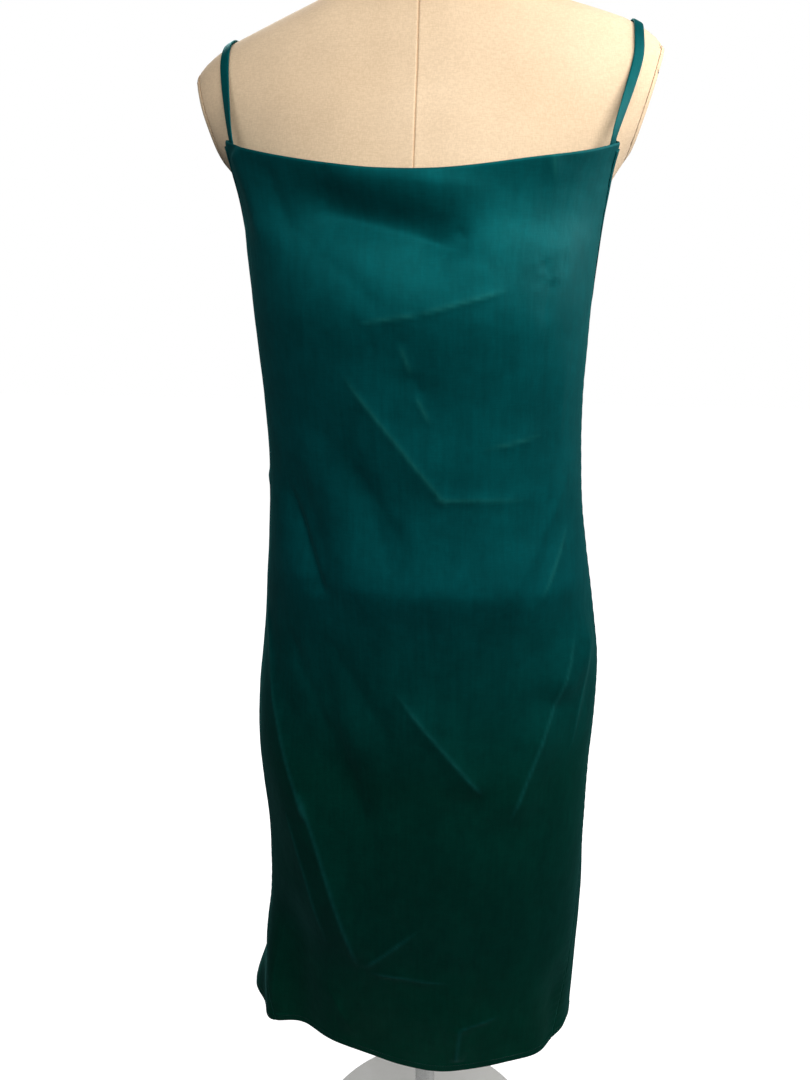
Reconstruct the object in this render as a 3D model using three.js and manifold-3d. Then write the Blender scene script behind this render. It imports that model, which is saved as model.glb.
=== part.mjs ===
// A satin slip dress worn by a limbless dress form on a round stand.
// The dress is a front and a back panel joined at the side seams, with narrow shoulder straps and a
// binding round each armhole. Millimetres, +Z up from the floor, the centre front faces -Y.
import * as THREE from "three";
import { mergeVertices } from "three/addons/utils/BufferGeometryUtils.js";
import Module from "manifold-3d";

const wasm = await Module();
wasm.setup();

// Driving dimensions.
const CLOTH = 1.2; // thickness of a cloth wall
const SEAM_GAP = 0.3; // between two pieces that are sewn or rest together
const SIDE_SEAM_GAP = 0.5; // between the panels' edges, which bend with the folds
const NECK_CORNER_Z = 1328; // where a strap meets the front neckline
const UNDERARM_Z = 1205; // top of the side seams
const BACK_CORNER_Z = 1272; // where a strap meets the back neckline
const BACK_DIP = 10; // how far the back neckline sags at its middle
const HEM_Z = 305; // the hem's mean level
const EASE_REACH = 200; // how far up or down the cloth follows the line of its edge
const STRAP_WIDTH = 9;
const STRAP_THICK = 1.6;
const BINDING_WIDTH = 6;
const BINDING_THICK = 1;
const TORSO_BOTTOM_Z = 800;
const TORSO_TOP_Z = 1520;
const POLE_RADIUS = 13;
const COLLAR_RADIUS = 35; // the plate on which the torso rests
const COLLAR_THICK = 6;
const COLLAR_NECK = 16; // height of the cone below the collar
const BASE_RADIUS = 175;
const BASE_THICK = 6;
const BASE_ROUND = 2; // the base's rounded rim
const HUB_FOOT_RADIUS = 35;
const HUB_WAIST_RADIUS = 22;
const HUB_TOP_RADIUS = 19;
const HUB_TOP_Z = 60;
const HUB_FOOT_RISE = 2; // of the hub's foot and its waist over the base's face
const HUB_WAIST_RISE = 12;

// How finely the cloth is cut into rows and columns.
const SKIRT_ROWS = 30; // from the underarm to the hem, shared by both panels
const FRONT_GRID = { rowsAbove: 9, columns: 30 };
const BACK_GRID = { rowsAbove: 5, columns: 26 };
const STRAP_STEPS = 44;
const BINDING_STEPS = 36;
const TORSO_COLUMNS = 48;
const CAP_COLUMNS = 32;
const POLE_COLUMNS = 24;
const BASE_COLUMNS = 48;

// Rows of numbers under named columns, as a list of objects.
function table(columns, rows) {
  const names = columns.split(" ");
  return rows.map((row) => Object.fromEntries(names.map((name, i) => [name, row[i]])));
}

// The dress's horizontal sections: half width on each side, and depth before and behind the axis.
// full is how far the section bulges beyond an ellipse at its four corners.
const DRESS = table("z left right front back full", [
  [250, 214, 181, 86, 102, 0.05],
  [305, 211, 182, 87, 102, 0.05],
  [415, 205, 184, 91, 104, 0.04],
  [500, 193, 185, 95, 106, 0.035],
  [600, 188, 186, 99, 109, 0.03],
  [710, 192, 186, 101, 114, 0.03],
  [780, 187, 188, 102, 120, 0.035],
  [840, 178, 186, 104, 123, 0.04],
  [900, 170, 177, 109, 118, 0.04],
  [935, 166, 171, 113.5, 111, 0.045],
  [965, 162.5, 166, 113.5, 104, 0.045],
  [1010, 158.5, 159, 111, 95, 0.045],
  [1060, 156, 155, 110.5, 88, 0.045],
  [1110, 157, 153, 114, 88, 0.045],
  [1160, 158.5, 154, 123, 93, 0.05],
  [1200, 160, 155, 129, 98, 0.05],
  [1245, 163, 158, 122, 102, 0.05],
  [1270, 165, 161, 115, 101, 0.045],
  [1290, 168, 165, 114, 99, 0.045],
  [1310, 173, 170, 118, 97, 0.045],
  [1330, 179, 178, 124, 95, 0.045],
]);

// The front panel's edge, in degrees round from the centre front: armhole above, side seam below.
const FRONT_EDGE = table("z left right", [
  [250, 56, 62],
  [305, 58, 64],
  [420, 72, 74],
  [560, 86, 84],
  [700, 90, 88],
  [UNDERARM_Z, 90, 90],
  [1222, 88, 88],
  [1250, 82.5, 82.5],
  [1290, 72, 74],
  [NECK_CORNER_Z, 63, 66],
]);

// The back panel's armhole edge above the side seam, in degrees round from the centre front.
const BACK_EDGE = table("z turn", [
  [UNDERARM_Z, 90],
  [1212, 98],
  [1228, 110],
  [1250, 123],
  [BACK_CORNER_Z, 134],
]);

// Heights of the front neckline and of the hem, by the distance round from the centre front.
const NECKLINE = table("across z", [
  [-175, 1337],
  [-115, 1322],
  [-60, 1311],
  [-20, 1306],
  [25, 1306],
  [85, 1314],
  [125, 1320],
  [175, 1330],
]);
const HEM = table("across z", [
  [-460, 312],
  [-300, 306],
  [-215, 312],
  [-160, 312],
  [-108, 317],
  [-65, 320],
  [-15, 308],
  [25, 305],
  [70, 309],
  [105, 311],
  [150, 306],
  [215, 312],
  [300, 308],
  [460, 312],
]);

// The largest folds. Each runs from one point to another, by the distance round from the centre front
// and the height. height is above the cloth, or below it where negative; before and after are the
// widths on its two sides, seen along the fold from its first point.
const FRONT_FOLDS = table("across0 z0 across1 z1 height before after", [
  [-101, 1296, 54, 1234, -9, 20, 30],
  [-56, 1160, 26, 1029, 4, 26, 34],
  [-105, 1075, -62, 900, -6, 18, 30],
  [-130, 950, 190, 914, 3, 34, 20],
  [-165, 880, -45, 420, 9, 26, 40],
  [-130, 560, -108, 180, -14, 30, 34],
  [-160, 480, -163, 60, 9, 22, 24],
  [-15, 835, 66, 700, 4, 22, 32],
  [185, 900, 112, 815, 6, 24, 30],
  [116, 820, 80, 660, 5, 22, 30],
  [150, 470, 172, 180, -7, 30, 26],
  [30, 470, 10, 180, 5, 44, 44],
]);
const BACK_FOLDS = table("across0 z0 across1 z1 height before after", [
  [-120, 1120, -60, 940, 5, 26, 36],
  [105, 1090, 70, 930, -5, 24, 30],
  [-95, 860, -130, 180, 9, 40, 46],
  [-20, 800, -30, 180, -8, 42, 38],
  [80, 840, 100, 180, 9, 44, 40],
  [215, 410, 205, 60, 24, 44, 60],
  [-200, 640, -215, 180, 8, 34, 34],
]);

// The dress form's sections, before its arm ends are cut off flat.
const TORSO = table("z half front back full", [
  [800, 158, 84, 100, 0.03],
  [850, 171, 94, 112, 0.04],
  [900, 162, 103, 106, 0.04],
  [935, 152, 107, 97, 0.04],
  [980, 136, 99, 82, 0.04],
  [1040, 120, 84, 69, 0.04],
  [1090, 125, 90, 71, 0.04],
  [1140, 136, 105, 80, 0.04],
  [1180, 144, 117, 88, 0.05],
  [1205, 147, 120, 92, 0.05],
  [1240, 150, 110, 94, 0.04],
  [1265, 153, 101, 94, 0.03],
  [1290, 161, 95, 92, 0.02],
  [1315, 176, 88, 89, 0.01],
  [1340, 196, 79, 85, 0.0],
  [1365, 210, 69, 80, 0.0],
  [1385, 209, 61, 75, 0.0],
  [1400, 199, 56, 71, 0.0],
  [1410, 187, 53, 68, 0.0],
  [1420, 168, 50, 65, 0.0],
  [1428, 145, 48, 63, 0.0],
  [1437, 118, 46, 61, 0.0],
  [1447, 89, 45, 58, 0.0],
  [1457, 70, 45, 56, 0.0],
  [1470, 61, 46, 53, 0.0],
  [1490, 58, 48, 49, 0.0],
  [TORSO_TOP_Z, 56, 51, 45, 0.0],
]);
// Spacing of the torso's rings over each range of heights.
const TORSO_RINGS = table("from below step", [
  [TORSO_BOTTOM_Z, 1250, 25],
  [1250, 1385, 15],
  [1385, 1460, 7],
  [1470, 1500, 25],
]);
const ARM_CUT_TOP = { x: 199, z: 1401 }; // the flat arm end's outermost point
const ARM_CUT_SLOPE = 0.28; // how far it leans in for each millimetre down
const ARM_PLATE_THICK = 3;
const ARM_SLAB = { depth: 60, reach: 110 }; // the block that takes the arm end off

// One shoulder is raised and the other lowered by this share of the distance from the middle. It fades
// in upwards from the bust and out again at the neck.
const SHOULDER_TILT = 0.036;
const TILT_IN = { z: 1200, over: 180 };
const TILT_OUT = { z: 1480, over: 60 };

// The strap's route over the shoulder: degrees round the shoulder's middle from straight forward,
// with the distance from the form's centre plane.
const STRAP_ROUTE = table("turn left right", [
  [0, 158, 167],
  [25, 164, 172],
  [55, 167, 176],
  [90, 167, 175],
  [120, 160, 164],
  [150, 147, 149],
  [180, 134, 134],
]);
const SHOULDER_MIDDLE = { y: 8, z: 1330 };
const STRAP_FRONT_END = table("left right z", [
  [60, 63, 1312],
  [60, 63, 1324],
  [60, 63, 1336],
]);
const STRAP_BACK_END = table("left right z", [
  [131, 131, 1275],
  [131, 131, 1265],
  [131, 131, 1255],
]);
const STRAP_TURNS = { first: 57, step: 11, last: 167 }; // the part that lies on the shoulder
const STRAP_CLEAR = 0.5; // more room under a strap, for the roundness of the shoulder below it
const TUCK_CLEAR = 0.8; // more room between a strap's end and the panel that it is sewn behind

// The bindings' routes. A binding's middle lies this many degrees inside the panel's edge.
const BINDING_CLEAR = 0.3; // more room under a binding, for the roundness of the dress below it
const BINDING_STEP = 8; // between the heights of its places
const BINDING_FRONT = { top: NECK_CORNER_Z - 8, above: UNDERARM_Z + 10 };
const BINDING_BACK = { bottom: UNDERARM_Z + 3, below: BACK_CORNER_Z - 6 };
const BINDING_INSET = { front: 1.3, back: 2.2 };
const BINDING_DROP = 2.4; // how far it hangs below the back panel's edge level
const BINDING_UNDERARM = [
  { turn: 87.5, z: 1209 },
  { turn: 92, z: 1203 },
];

// The neck cap's rings: their size against the torso's top, and their height over its seat.
const NECK_CAP = table("share above", [
  [1.03, 0],
  [1.05, 4],
  [1.02, 9],
  [0.9, 13],
]);

const clamp01 = (value) => Math.min(1, Math.max(0, value));
const smooth = (value) => clamp01(value) ** 2 * (3 - 2 * clamp01(value));
const radians = THREE.MathUtils.degToRad;

// The smooth value of a column where the key column has the given value.
function at(rows, column, value, key = "z") {
  const last = rows.length - 1;
  if (value <= rows[0][key]) return rows[0][column];
  if (value >= rows[last][key]) return rows[last][column];
  const high = rows.findIndex((row) => row[key] > value);
  const low = high - 1;
  const span = rows[high][key] - rows[low][key];
  const t = (value - rows[low][key]) / span;
  const slope = (k) => {
    const before = rows[Math.max(k - 1, 0)];
    const after = rows[Math.min(k + 1, last)];
    return (span * (after[column] - before[column])) / (after[key] - before[key]);
  };
  return (
    rows[low][column] * (1 + 2 * t) * (1 - t) ** 2 +
    slope(low) * t * (1 - t) ** 2 +
    rows[high][column] * t * t * (3 - 2 * t) -
    slope(high) * t * t * (1 - t)
  );
}

// A point of an oval section, turn degrees round from the centre front towards +X.
function sectionPoint(left, right, front, back, full, turn, z) {
  const across = Math.sin(radians(turn));
  const ahead = Math.cos(radians(turn));
  const bulge = 1 + full * Math.sin(radians(2 * turn)) ** 2;
  return new THREE.Vector3(
    (across < 0 ? left : right) * across * bulge,
    -(ahead > 0 ? front : back) * ahead * bulge,
    z,
  );
}

// Half of the dress's girth at a height, by the ellipse's perimeter.
function halfGirth(z) {
  const wide = (at(DRESS, "left", z) + at(DRESS, "right", z)) / 2;
  const deep = (at(DRESS, "front", z) + at(DRESS, "back", z)) / 2;
  const h = ((wide - deep) / (wide + deep)) ** 2;
  return (Math.PI / 2) * (wide + deep) * (1 + h / 4 + h ** 2 / 64);
}

// The height of one fold over the cloth at a place given by its distance across and its height.
function foldHeight(fold, across, z) {
  const alongX = fold.across1 - fold.across0;
  const alongZ = fold.z1 - fold.z0;
  const length = Math.hypot(alongX, alongZ);
  const toX = across - fold.across0;
  const toZ = z - fold.z0;
  const along = (toX * alongX + toZ * alongZ) / length ** 2;
  const off = (toX * alongZ - toZ * alongX) / length;
  const width = off < 0 ? fold.before : fold.after;
  const fade = smooth(along / 0.3) * smooth((1 - along) / 0.3);
  return fold.height * fade * Math.exp(-((off / width) ** 2));
}

// The outer face of the dress, turn degrees round from the centre front at height z.
function dressPoint(turn, z) {
  const [left, right, front, back, full] = ["left", "right", "front", "back", "full"].map(
    (column) => at(DRESS, column, z),
  );
  const half = halfGirth(z);
  const fromFront = (half * turn) / 180;
  const fromBack = fromFront - Math.sign(turn || 1) * half;
  const height =
    FRONT_FOLDS.reduce((sum, fold) => sum + foldHeight(fold, fromFront, z), 0) +
    BACK_FOLDS.reduce((sum, fold) => sum + foldHeight(fold, fromBack, z), 0);
  const point = sectionPoint(left, right, front, back, full, turn, z);
  const outward = new THREE.Vector3(point.x / left ** 2, point.y / front ** 2, 0).normalize();
  return point.addScaledVector(outward, height);
}

// The outward direction of the dress's face.
function dressNormal(turn, z) {
  const round = dressPoint(turn + 0.5, z).sub(dressPoint(turn - 0.5, z));
  const up = dressPoint(turn, z + 2).sub(dressPoint(turn, z - 2));
  return round.cross(up).normalize();
}

function geometryOf(points, triangles) {
  const geometry = new THREE.BufferGeometry();
  const flat = points.flatMap((p) => [p.x, p.y, p.z]);
  geometry.setAttribute("position", new THREE.Float32BufferAttribute(flat, 3));
  geometry.setIndex(triangles.flat());
  return geometry;
}

// A closed wall over a grid of outer points, with the inner points behind them. The levels run
// downwards and the columns towards +X as seen from outside.
function wall(levels, columns, pointAt, thickness) {
  const outer = [];
  const inner = [];
  for (const level of levels)
    for (let c = 0; c <= columns; c++) {
      const { point, normal } = pointAt(c / columns, level);
      outer.push(point);
      inner.push(point.clone().addScaledVector(normal, -thickness));
    }
  const rows = levels.length - 1;
  const wide = columns + 1;
  const inside = outer.length;
  const triangles = [];
  const quad = (a, b, c, d) => triangles.push([a, b, c], [a, c, d]);
  for (let r = 0; r < rows; r++)
    for (let c = 0; c < columns; c++) {
      const a = r * wide + c;
      quad(a, a + wide, a + wide + 1, a + 1);
      quad(inside + a, inside + a + 1, inside + a + wide + 1, inside + a + wide);
    }
  for (let c = 0; c < columns; c++) {
    const bottom = rows * wide + c;
    quad(c, c + 1, inside + c + 1, inside + c);
    quad(bottom + 1, bottom, inside + bottom, inside + bottom + 1);
  }
  for (let r = 0; r < rows; r++) {
    const start = r * wide;
    const end = start + columns;
    quad(start + wide, start, inside + start, inside + start + wide);
    quad(end, end + wide, inside + end + wide, inside + end);
  }
  return geometryOf([...outer, ...inner], triangles);
}

// A closed strip with a rectangular section along frames of { point, normal, side }.
function strip(frames, width, thickness) {
  const corners = [
    [-0.5, -0.5],
    [0.5, -0.5],
    [0.5, 0.5],
    [-0.5, 0.5],
  ];
  const points = frames.flatMap(({ point, normal, side }) =>
    corners.map(([across, out]) =>
      point.clone().addScaledVector(side, across * width).addScaledVector(normal, out * thickness),
    ),
  );
  const triangles = [
    [0, 1, 2],
    [0, 2, 3],
  ];
  for (let f = 0; f < frames.length - 1; f++)
    for (let k = 0; k < 4; k++) {
      const a = 4 * f + k;
      const b = 4 * f + ((k + 1) % 4);
      triangles.push([a, a + 4, b + 4], [a, b + 4, b]);
    }
  const end = 4 * (frames.length - 1);
  triangles.push([end, end + 2, end + 1], [end, end + 3, end + 2]);
  return geometryOf(points, triangles);
}

// Frames along a smooth route through places of { point, normal }.
function framesAlong(places, steps) {
  const smoothThrough = (points) => new THREE.CatmullRomCurve3(points, false, "centripetal");
  const line = smoothThrough(places.map(({ point }) => point));
  const leaning = smoothThrough(places.map(({ normal }) => normal));
  return Array.from({ length: steps + 1 }, (_, i) => {
    const tangent = line.getTangent(i / steps);
    const side = tangent.clone().cross(leaning.getPoint(i / steps)).normalize();
    return { point: line.getPoint(i / steps), side, normal: side.clone().cross(tangent).normalize() };
  });
}

// A closed body through horizontal rings, each a list of points running from the front towards +X.
function stack(rings) {
  const around = rings[0].length;
  const points = rings.flat();
  const triangles = [];
  for (let r = 0; r < rings.length - 1; r++)
    for (let k = 0; k < around; k++) {
      const a = r * around + k;
      const b = r * around + ((k + 1) % around);
      triangles.push([a, b, b + around], [a, b + around, a + around]);
    }
  const top = (rings.length - 1) * around;
  for (let k = 1; k < around - 1; k++) {
    triangles.push([0, k + 1, k]);
    triangles.push([top, top + k, top + k + 1]);
  }
  return geometryOf(points, triangles);
}

function solidOf(geometry) {
  const bare = new THREE.BufferGeometry().setAttribute("position", geometry.getAttribute("position"));
  if (geometry.index) bare.setIndex(geometry.index);
  const merged = mergeVertices(bare);
  return new wasm.Manifold(
    new wasm.Mesh({
      numProp: 3,
      vertProperties: merged.attributes.position.array,
      triVerts: new Uint32Array(merged.index.array),
    }),
  );
}

function geometryFromSolid(solid) {
  const mesh = solid.getMesh();
  const geometry = new THREE.BufferGeometry();
  geometry.setAttribute("position", new THREE.BufferAttribute(mesh.vertProperties, 3));
  return geometry.setIndex(new THREE.BufferAttribute(mesh.triVerts, 1));
}

function node(name, geometry, material) {
  const mesh = new THREE.Mesh(geometry, material);
  mesh.name = name;
  return mesh;
}

const satin = new THREE.MeshStandardMaterial({ color: 0x07494a, roughness: 0.38, metalness: 0 });
const cover = new THREE.MeshStandardMaterial({ color: 0xe9cda6, roughness: 0.8, metalness: 0 });
const enamel = new THREE.MeshStandardMaterial({ color: 0xe8e8e6, roughness: 0.45, metalness: 0 });
const steel = new THREE.MeshStandardMaterial({ color: 0xb9bbbd, roughness: 0.3, metalness: 0.9 });

// The levels of a panel's rows: some above the underarm, then the same ones down to the hem.
function panelLevels(topZ, rowsAbove) {
  const above = Array.from(
    { length: rowsAbove },
    (_, r) => topZ + ((UNDERARM_Z - topZ) * r) / rowsAbove,
  );
  const below = Array.from(
    { length: SKIRT_ROWS + 1 },
    (_, r) => UNDERARM_Z + ((HEM_Z - UNDERARM_Z) * r) / SKIRT_ROWS,
  );
  return [...above, ...below];
}

// How far a row is lifted from its level so that the top row follows the neckline and the last the hem.
function lifted(level, across, topZ, topLine) {
  const nearTop = clamp01(1 - (topZ - level) / EASE_REACH) ** 2;
  const nearHem = clamp01(1 - (level - HEM_Z) / EASE_REACH) ** 2;
  return level + (topLine - topZ) * nearTop + (at(HEM, "z", across, "across") - HEM_Z) * nearHem;
}

function frontPanel() {
  return wall(
    panelLevels(NECK_CORNER_Z, FRONT_GRID.rowsAbove),
    FRONT_GRID.columns,
    (share, level) => {
      const gap = (SIDE_SEAM_GAP / 2 / halfGirth(level)) * 180;
      const left = gap - at(FRONT_EDGE, "left", level);
      const right = at(FRONT_EDGE, "right", level) - gap;
      const turn = left + (right - left) * share;
      const across = (halfGirth(level) * turn) / 180;
      const z = lifted(level, across, NECK_CORNER_Z, at(NECKLINE, "z", across, "across"));
      return { point: dressPoint(turn, z), normal: dressNormal(turn, z) };
    },
    CLOTH,
  );
}

// The back panel's edge: the armhole above the underarm, then the side seam it shares with the front.
function backEdge(side, level) {
  return level > UNDERARM_Z ? at(BACK_EDGE, "turn", level) : at(FRONT_EDGE, side, level);
}

function backPanel() {
  return wall(
    panelLevels(BACK_CORNER_Z, BACK_GRID.rowsAbove),
    BACK_GRID.columns,
    (share, level) => {
      const gap = (SIDE_SEAM_GAP / 2 / halfGirth(level)) * 180;
      const start = backEdge("right", level) + gap;
      const end = 360 - backEdge("left", level) - gap;
      const turn = start + (end - start) * share;
      const wrapped = turn > 180 ? turn - 360 : turn;
      const across = (halfGirth(level) * wrapped) / 180;
      const dip = BACK_DIP * (1 - (2 * share - 1) ** 2);
      const z = lifted(level, across, BACK_CORNER_Z, BACK_CORNER_Z - dip);
      return { point: dressPoint(wrapped, z), normal: dressNormal(wrapped, z) };
    },
    CLOTH,
  );
}

// How far a point of the form is raised by the uneven shoulders.
function tilt(x, z) {
  const above = smooth((z - TILT_IN.z) / TILT_IN.over);
  const below = smooth((TILT_OUT.z - z) / TILT_OUT.over);
  return SHOULDER_TILT * x * above * below;
}

// Whether a point lies in the dress form's torso.
function inTorso(x, y, z) {
  const level = z - tilt(x, z);
  if (level > TORSO_TOP_Z || Math.abs(x) > ARM_CUT_TOP.x - ARM_CUT_SLOPE * (ARM_CUT_TOP.z - level))
    return false;
  const wide = x / at(TORSO, "half", level);
  const deep = y / at(TORSO, y < 0 ? "front" : "back", level);
  const bulge = 1 + at(TORSO, "full", level) * Math.sin(2 * Math.atan2(wide, deep)) ** 2;
  return Math.hypot(wide, deep) < bulge;
}

// The torso's surface in the vertical plane at x, turn degrees round the shoulder's middle from
// straight forward.
function shoulderPoint(x, turn) {
  const outward = new THREE.Vector3(0, -Math.cos(radians(turn)), Math.sin(radians(turn)));
  let near = 20;
  let far = 150;
  while (far - near > 0.01) {
    const middle = (near + far) / 2;
    const y = SHOULDER_MIDDLE.y + outward.y * middle;
    const z = SHOULDER_MIDDLE.z + outward.z * middle;
    if (inTorso(x, y, z)) near = middle;
    else far = middle;
  }
  const point = new THREE.Vector3(x, SHOULDER_MIDDLE.y, SHOULDER_MIDDLE.z);
  return point.addScaledVector(outward, far);
}

// The outward direction of the torso's surface there.
function shoulderNormal(x, turn) {
  const across = shoulderPoint(x + 4, turn).sub(shoulderPoint(x - 4, turn));
  const along = shoulderPoint(x, turn + 3).sub(shoulderPoint(x, turn - 3));
  return across.cross(along).normalize();
}

// A strap: tucked inside the front neckline's corner, over the shoulder, and inside the back neckline.
function strap(sign) {
  const lift = SEAM_GAP + STRAP_THICK / 2;
  const side = sign < 0 ? "left" : "right";
  const tucked = (end) => {
    const turn = sign * end[side];
    const normal = dressNormal(turn, end.z);
    const behind = -CLOTH - TUCK_CLEAR - lift;
    return { point: dressPoint(turn, end.z).addScaledVector(normal, behind), normal };
  };
  const worn = (turn) => {
    const x = sign * at(STRAP_ROUTE, side, turn, "turn");
    const normal = shoulderNormal(x, turn);
    return { point: shoulderPoint(x, turn).addScaledVector(normal, lift + STRAP_CLEAR), normal };
  };
  const over = [];
  for (let turn = STRAP_TURNS.first; turn <= STRAP_TURNS.last; turn += STRAP_TURNS.step)
    over.push(worn(turn));
  const route = [...STRAP_FRONT_END.map(tucked), ...over, ...STRAP_BACK_END.map(tucked)];
  return strip(framesAlong(route, STRAP_STEPS), STRAP_WIDTH, STRAP_THICK);
}

// A binding on the outside of an armhole's edge, from the front corner round the underarm to the back.
function binding(sign) {
  const side = sign < 0 ? "left" : "right";
  const lift = SEAM_GAP + BINDING_THICK / 2 + BINDING_CLEAR;
  const places = [];
  for (let z = BINDING_FRONT.top; z > BINDING_FRONT.above; z -= BINDING_STEP)
    places.push({ turn: at(FRONT_EDGE, side, z) - BINDING_INSET.front, z });
  places.push(...BINDING_UNDERARM);
  for (let z = BINDING_BACK.bottom; z < BINDING_BACK.below; z += BINDING_STEP)
    places.push({ turn: at(BACK_EDGE, "turn", z) + BINDING_INSET.back, z: z - BINDING_DROP });
  const route = places.map(({ turn, z }) => {
    const normal = dressNormal(sign * turn, z);
    return { point: dressPoint(sign * turn, z).addScaledVector(normal, lift), normal };
  });
  return strip(framesAlong(route, BINDING_STEPS), BINDING_WIDTH, BINDING_THICK);
}

function torsoRing(level, around) {
  const half = at(TORSO, "half", level);
  const sizes = [half, half, at(TORSO, "front", level), at(TORSO, "back", level), at(TORSO, "full", level)];
  return Array.from({ length: around }, (_, k) => sectionPoint(...sizes, (360 * k) / around, level));
}

function tilted(geometry) {
  const position = geometry.getAttribute("position");
  for (let i = 0; i < position.count; i++) {
    const z = position.getZ(i);
    position.setZ(i, z + tilt(position.getX(i), z));
  }
  return geometry;
}

// A slab that leans like the flat arm end, from the cut outwards.
function armSlab(sign, from, to) {
  const wide = 2 * ARM_SLAB.reach;
  const box = new THREE.BoxGeometry(to - from, wide, wide).translate((from + to) / 2, 0, 0);
  box.rotateY(Math.atan(ARM_CUT_SLOPE)).translate(ARM_CUT_TOP.x, 0, ARM_CUT_TOP.z);
  if (sign > 0) return solidOf(box);
  box.rotateZ(Math.PI);
  return solidOf(box);
}

function torsoBodies() {
  const levels = [];
  for (const { from, below, step } of TORSO_RINGS)
    for (let z = from; z < below; z += step) levels.push(z);
  levels.push(TORSO_TOP_Z);
  const whole = solidOf(stack(levels.map((z) => torsoRing(z, TORSO_COLUMNS))));
  const torso = whole.subtract(armSlab(-1, 0, ARM_SLAB.depth)).subtract(armSlab(1, 0, ARM_SLAB.depth));
  const plate = (sign) => whole.intersect(armSlab(sign, SEAM_GAP, SEAM_GAP + ARM_PLATE_THICK));
  return { torso, left: plate(-1), right: plate(1) };
}

// A round piece from a profile of [radius, height] points that starts and ends on the axis.
function turned(profile, segments) {
  const lathe = new THREE.LatheGeometry(
    profile.map(([radius, height]) => new THREE.Vector2(radius, height)),
    segments,
  );
  return lathe.rotateX(Math.PI / 2);
}

function neckCap() {
  const rim = torsoRing(TORSO_TOP_Z, CAP_COLUMNS);
  const middle = rim.reduce((sum, p) => sum.add(p), new THREE.Vector3()).divideScalar(rim.length);
  const seat = TORSO_TOP_Z + SEAM_GAP;
  return stack(
    NECK_CAP.map(({ share, above }) =>
      rim.map((p) => p.clone().sub(middle).multiplyScalar(share).add(middle).setZ(seat + above)),
    ),
  );
}

const bodies = torsoBodies();
const slipDress = new THREE.Group();
slipDress.add(
  node("dress_front", frontPanel(), satin),
  node("dress_back", backPanel(), satin),
  node("strap_left", strap(-1), satin),
  node("strap_right", strap(1), satin),
  node("armhole_binding_left", binding(-1), satin),
  node("armhole_binding_right", binding(1), satin),
);

const dressForm = new THREE.Group();
dressForm.add(
  node("form_torso", tilted(geometryFromSolid(bodies.torso)), cover),
  node("form_arm_plate_left", tilted(geometryFromSolid(bodies.left)), cover),
  node("form_arm_plate_right", tilted(geometryFromSolid(bodies.right)), cover),
  node("form_neck_cap", neckCap(), enamel),
  node(
    "stand_pole",
    turned(
      [
        [0, HUB_TOP_Z + SEAM_GAP],
        [POLE_RADIUS, HUB_TOP_Z + SEAM_GAP],
        [POLE_RADIUS, TORSO_BOTTOM_Z - COLLAR_THICK - COLLAR_NECK],
        [COLLAR_RADIUS, TORSO_BOTTOM_Z - COLLAR_THICK],
        [COLLAR_RADIUS, TORSO_BOTTOM_Z - SEAM_GAP],
        [0, TORSO_BOTTOM_Z - SEAM_GAP],
      ],
      POLE_COLUMNS,
    ),
    steel,
  ),
  node(
    "stand_base",
    turned(
      [
        [0, 0],
        [BASE_RADIUS - BASE_ROUND, 0],
        [BASE_RADIUS, BASE_ROUND],
        [BASE_RADIUS, BASE_THICK - BASE_ROUND],
        [BASE_RADIUS - BASE_ROUND, BASE_THICK],
        [HUB_FOOT_RADIUS, BASE_THICK + HUB_FOOT_RISE],
        [HUB_WAIST_RADIUS, BASE_THICK + HUB_WAIST_RISE],
        [HUB_TOP_RADIUS, HUB_TOP_Z],
        [0, HUB_TOP_Z],
      ],
      BASE_COLUMNS,
    ),
    enamel,
  ),
);

const part = new THREE.Group();
part.add(slipDress, dressForm);
export default part;
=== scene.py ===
import math

import bmesh
import bpy
import numpy as np
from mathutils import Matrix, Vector


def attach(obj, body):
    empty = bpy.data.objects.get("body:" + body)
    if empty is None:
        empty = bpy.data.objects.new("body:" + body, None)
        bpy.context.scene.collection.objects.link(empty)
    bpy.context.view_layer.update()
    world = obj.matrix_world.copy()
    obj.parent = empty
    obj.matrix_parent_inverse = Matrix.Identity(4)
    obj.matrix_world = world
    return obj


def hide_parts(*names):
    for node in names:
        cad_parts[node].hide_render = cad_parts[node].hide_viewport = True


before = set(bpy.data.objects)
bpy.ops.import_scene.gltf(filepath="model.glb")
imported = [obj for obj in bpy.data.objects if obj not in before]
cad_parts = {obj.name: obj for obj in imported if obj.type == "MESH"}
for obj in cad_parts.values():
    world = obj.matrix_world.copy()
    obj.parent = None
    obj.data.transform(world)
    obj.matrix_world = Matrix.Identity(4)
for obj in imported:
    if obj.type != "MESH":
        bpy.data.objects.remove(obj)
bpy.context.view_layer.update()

# A satin slip dress worn by a limbless dress form on a round stand. Metres, +Z up from the floor, the
# centre front faces -Y. A place on the cloth is named by its distance round from the centre front or
# the centre back (across, towards +X) and its height (z).

SIGN = {"left": -1, "right": 1}  # of x

# Driving sizes of the dress.
CLOTH = 0.0006  # thickness of the shell that stands for the satin
SIDE_SEAM_GAP = 0.0001
SEAM_TURN_IN = 0.0035  # how far a panel's side edges are turned in
SEAM_ROUND = 0.0005  # depth of the first step of that turn
SEAM_DIP = 0.0004  # how far the cloth sinks into a side seam
SEAM_DIP_WIDTH = 0.0016
PUCKER = 0.00025  # height of the puckers along a side seam
PUCKER_PITCH = 0.013
PUCKER_REACH = 0.014
NECK_CORNER_Z = 1.328  # where a strap meets the front neckline
UNDERARM_Z = 1.205  # top of the side seams
BACK_CORNER_Z = 1.272  # where a strap meets the back neckline
BACK_DIP = 0.010
PANEL_TOP = {"front": NECK_CORNER_Z, "back": BACK_CORNER_Z}
EDGE_ROLL = 0.0020  # how much of the cloth rolls inwards along the neckline
EDGE_DEPTH = 0.0010
HEM_Z = 0.305
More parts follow.
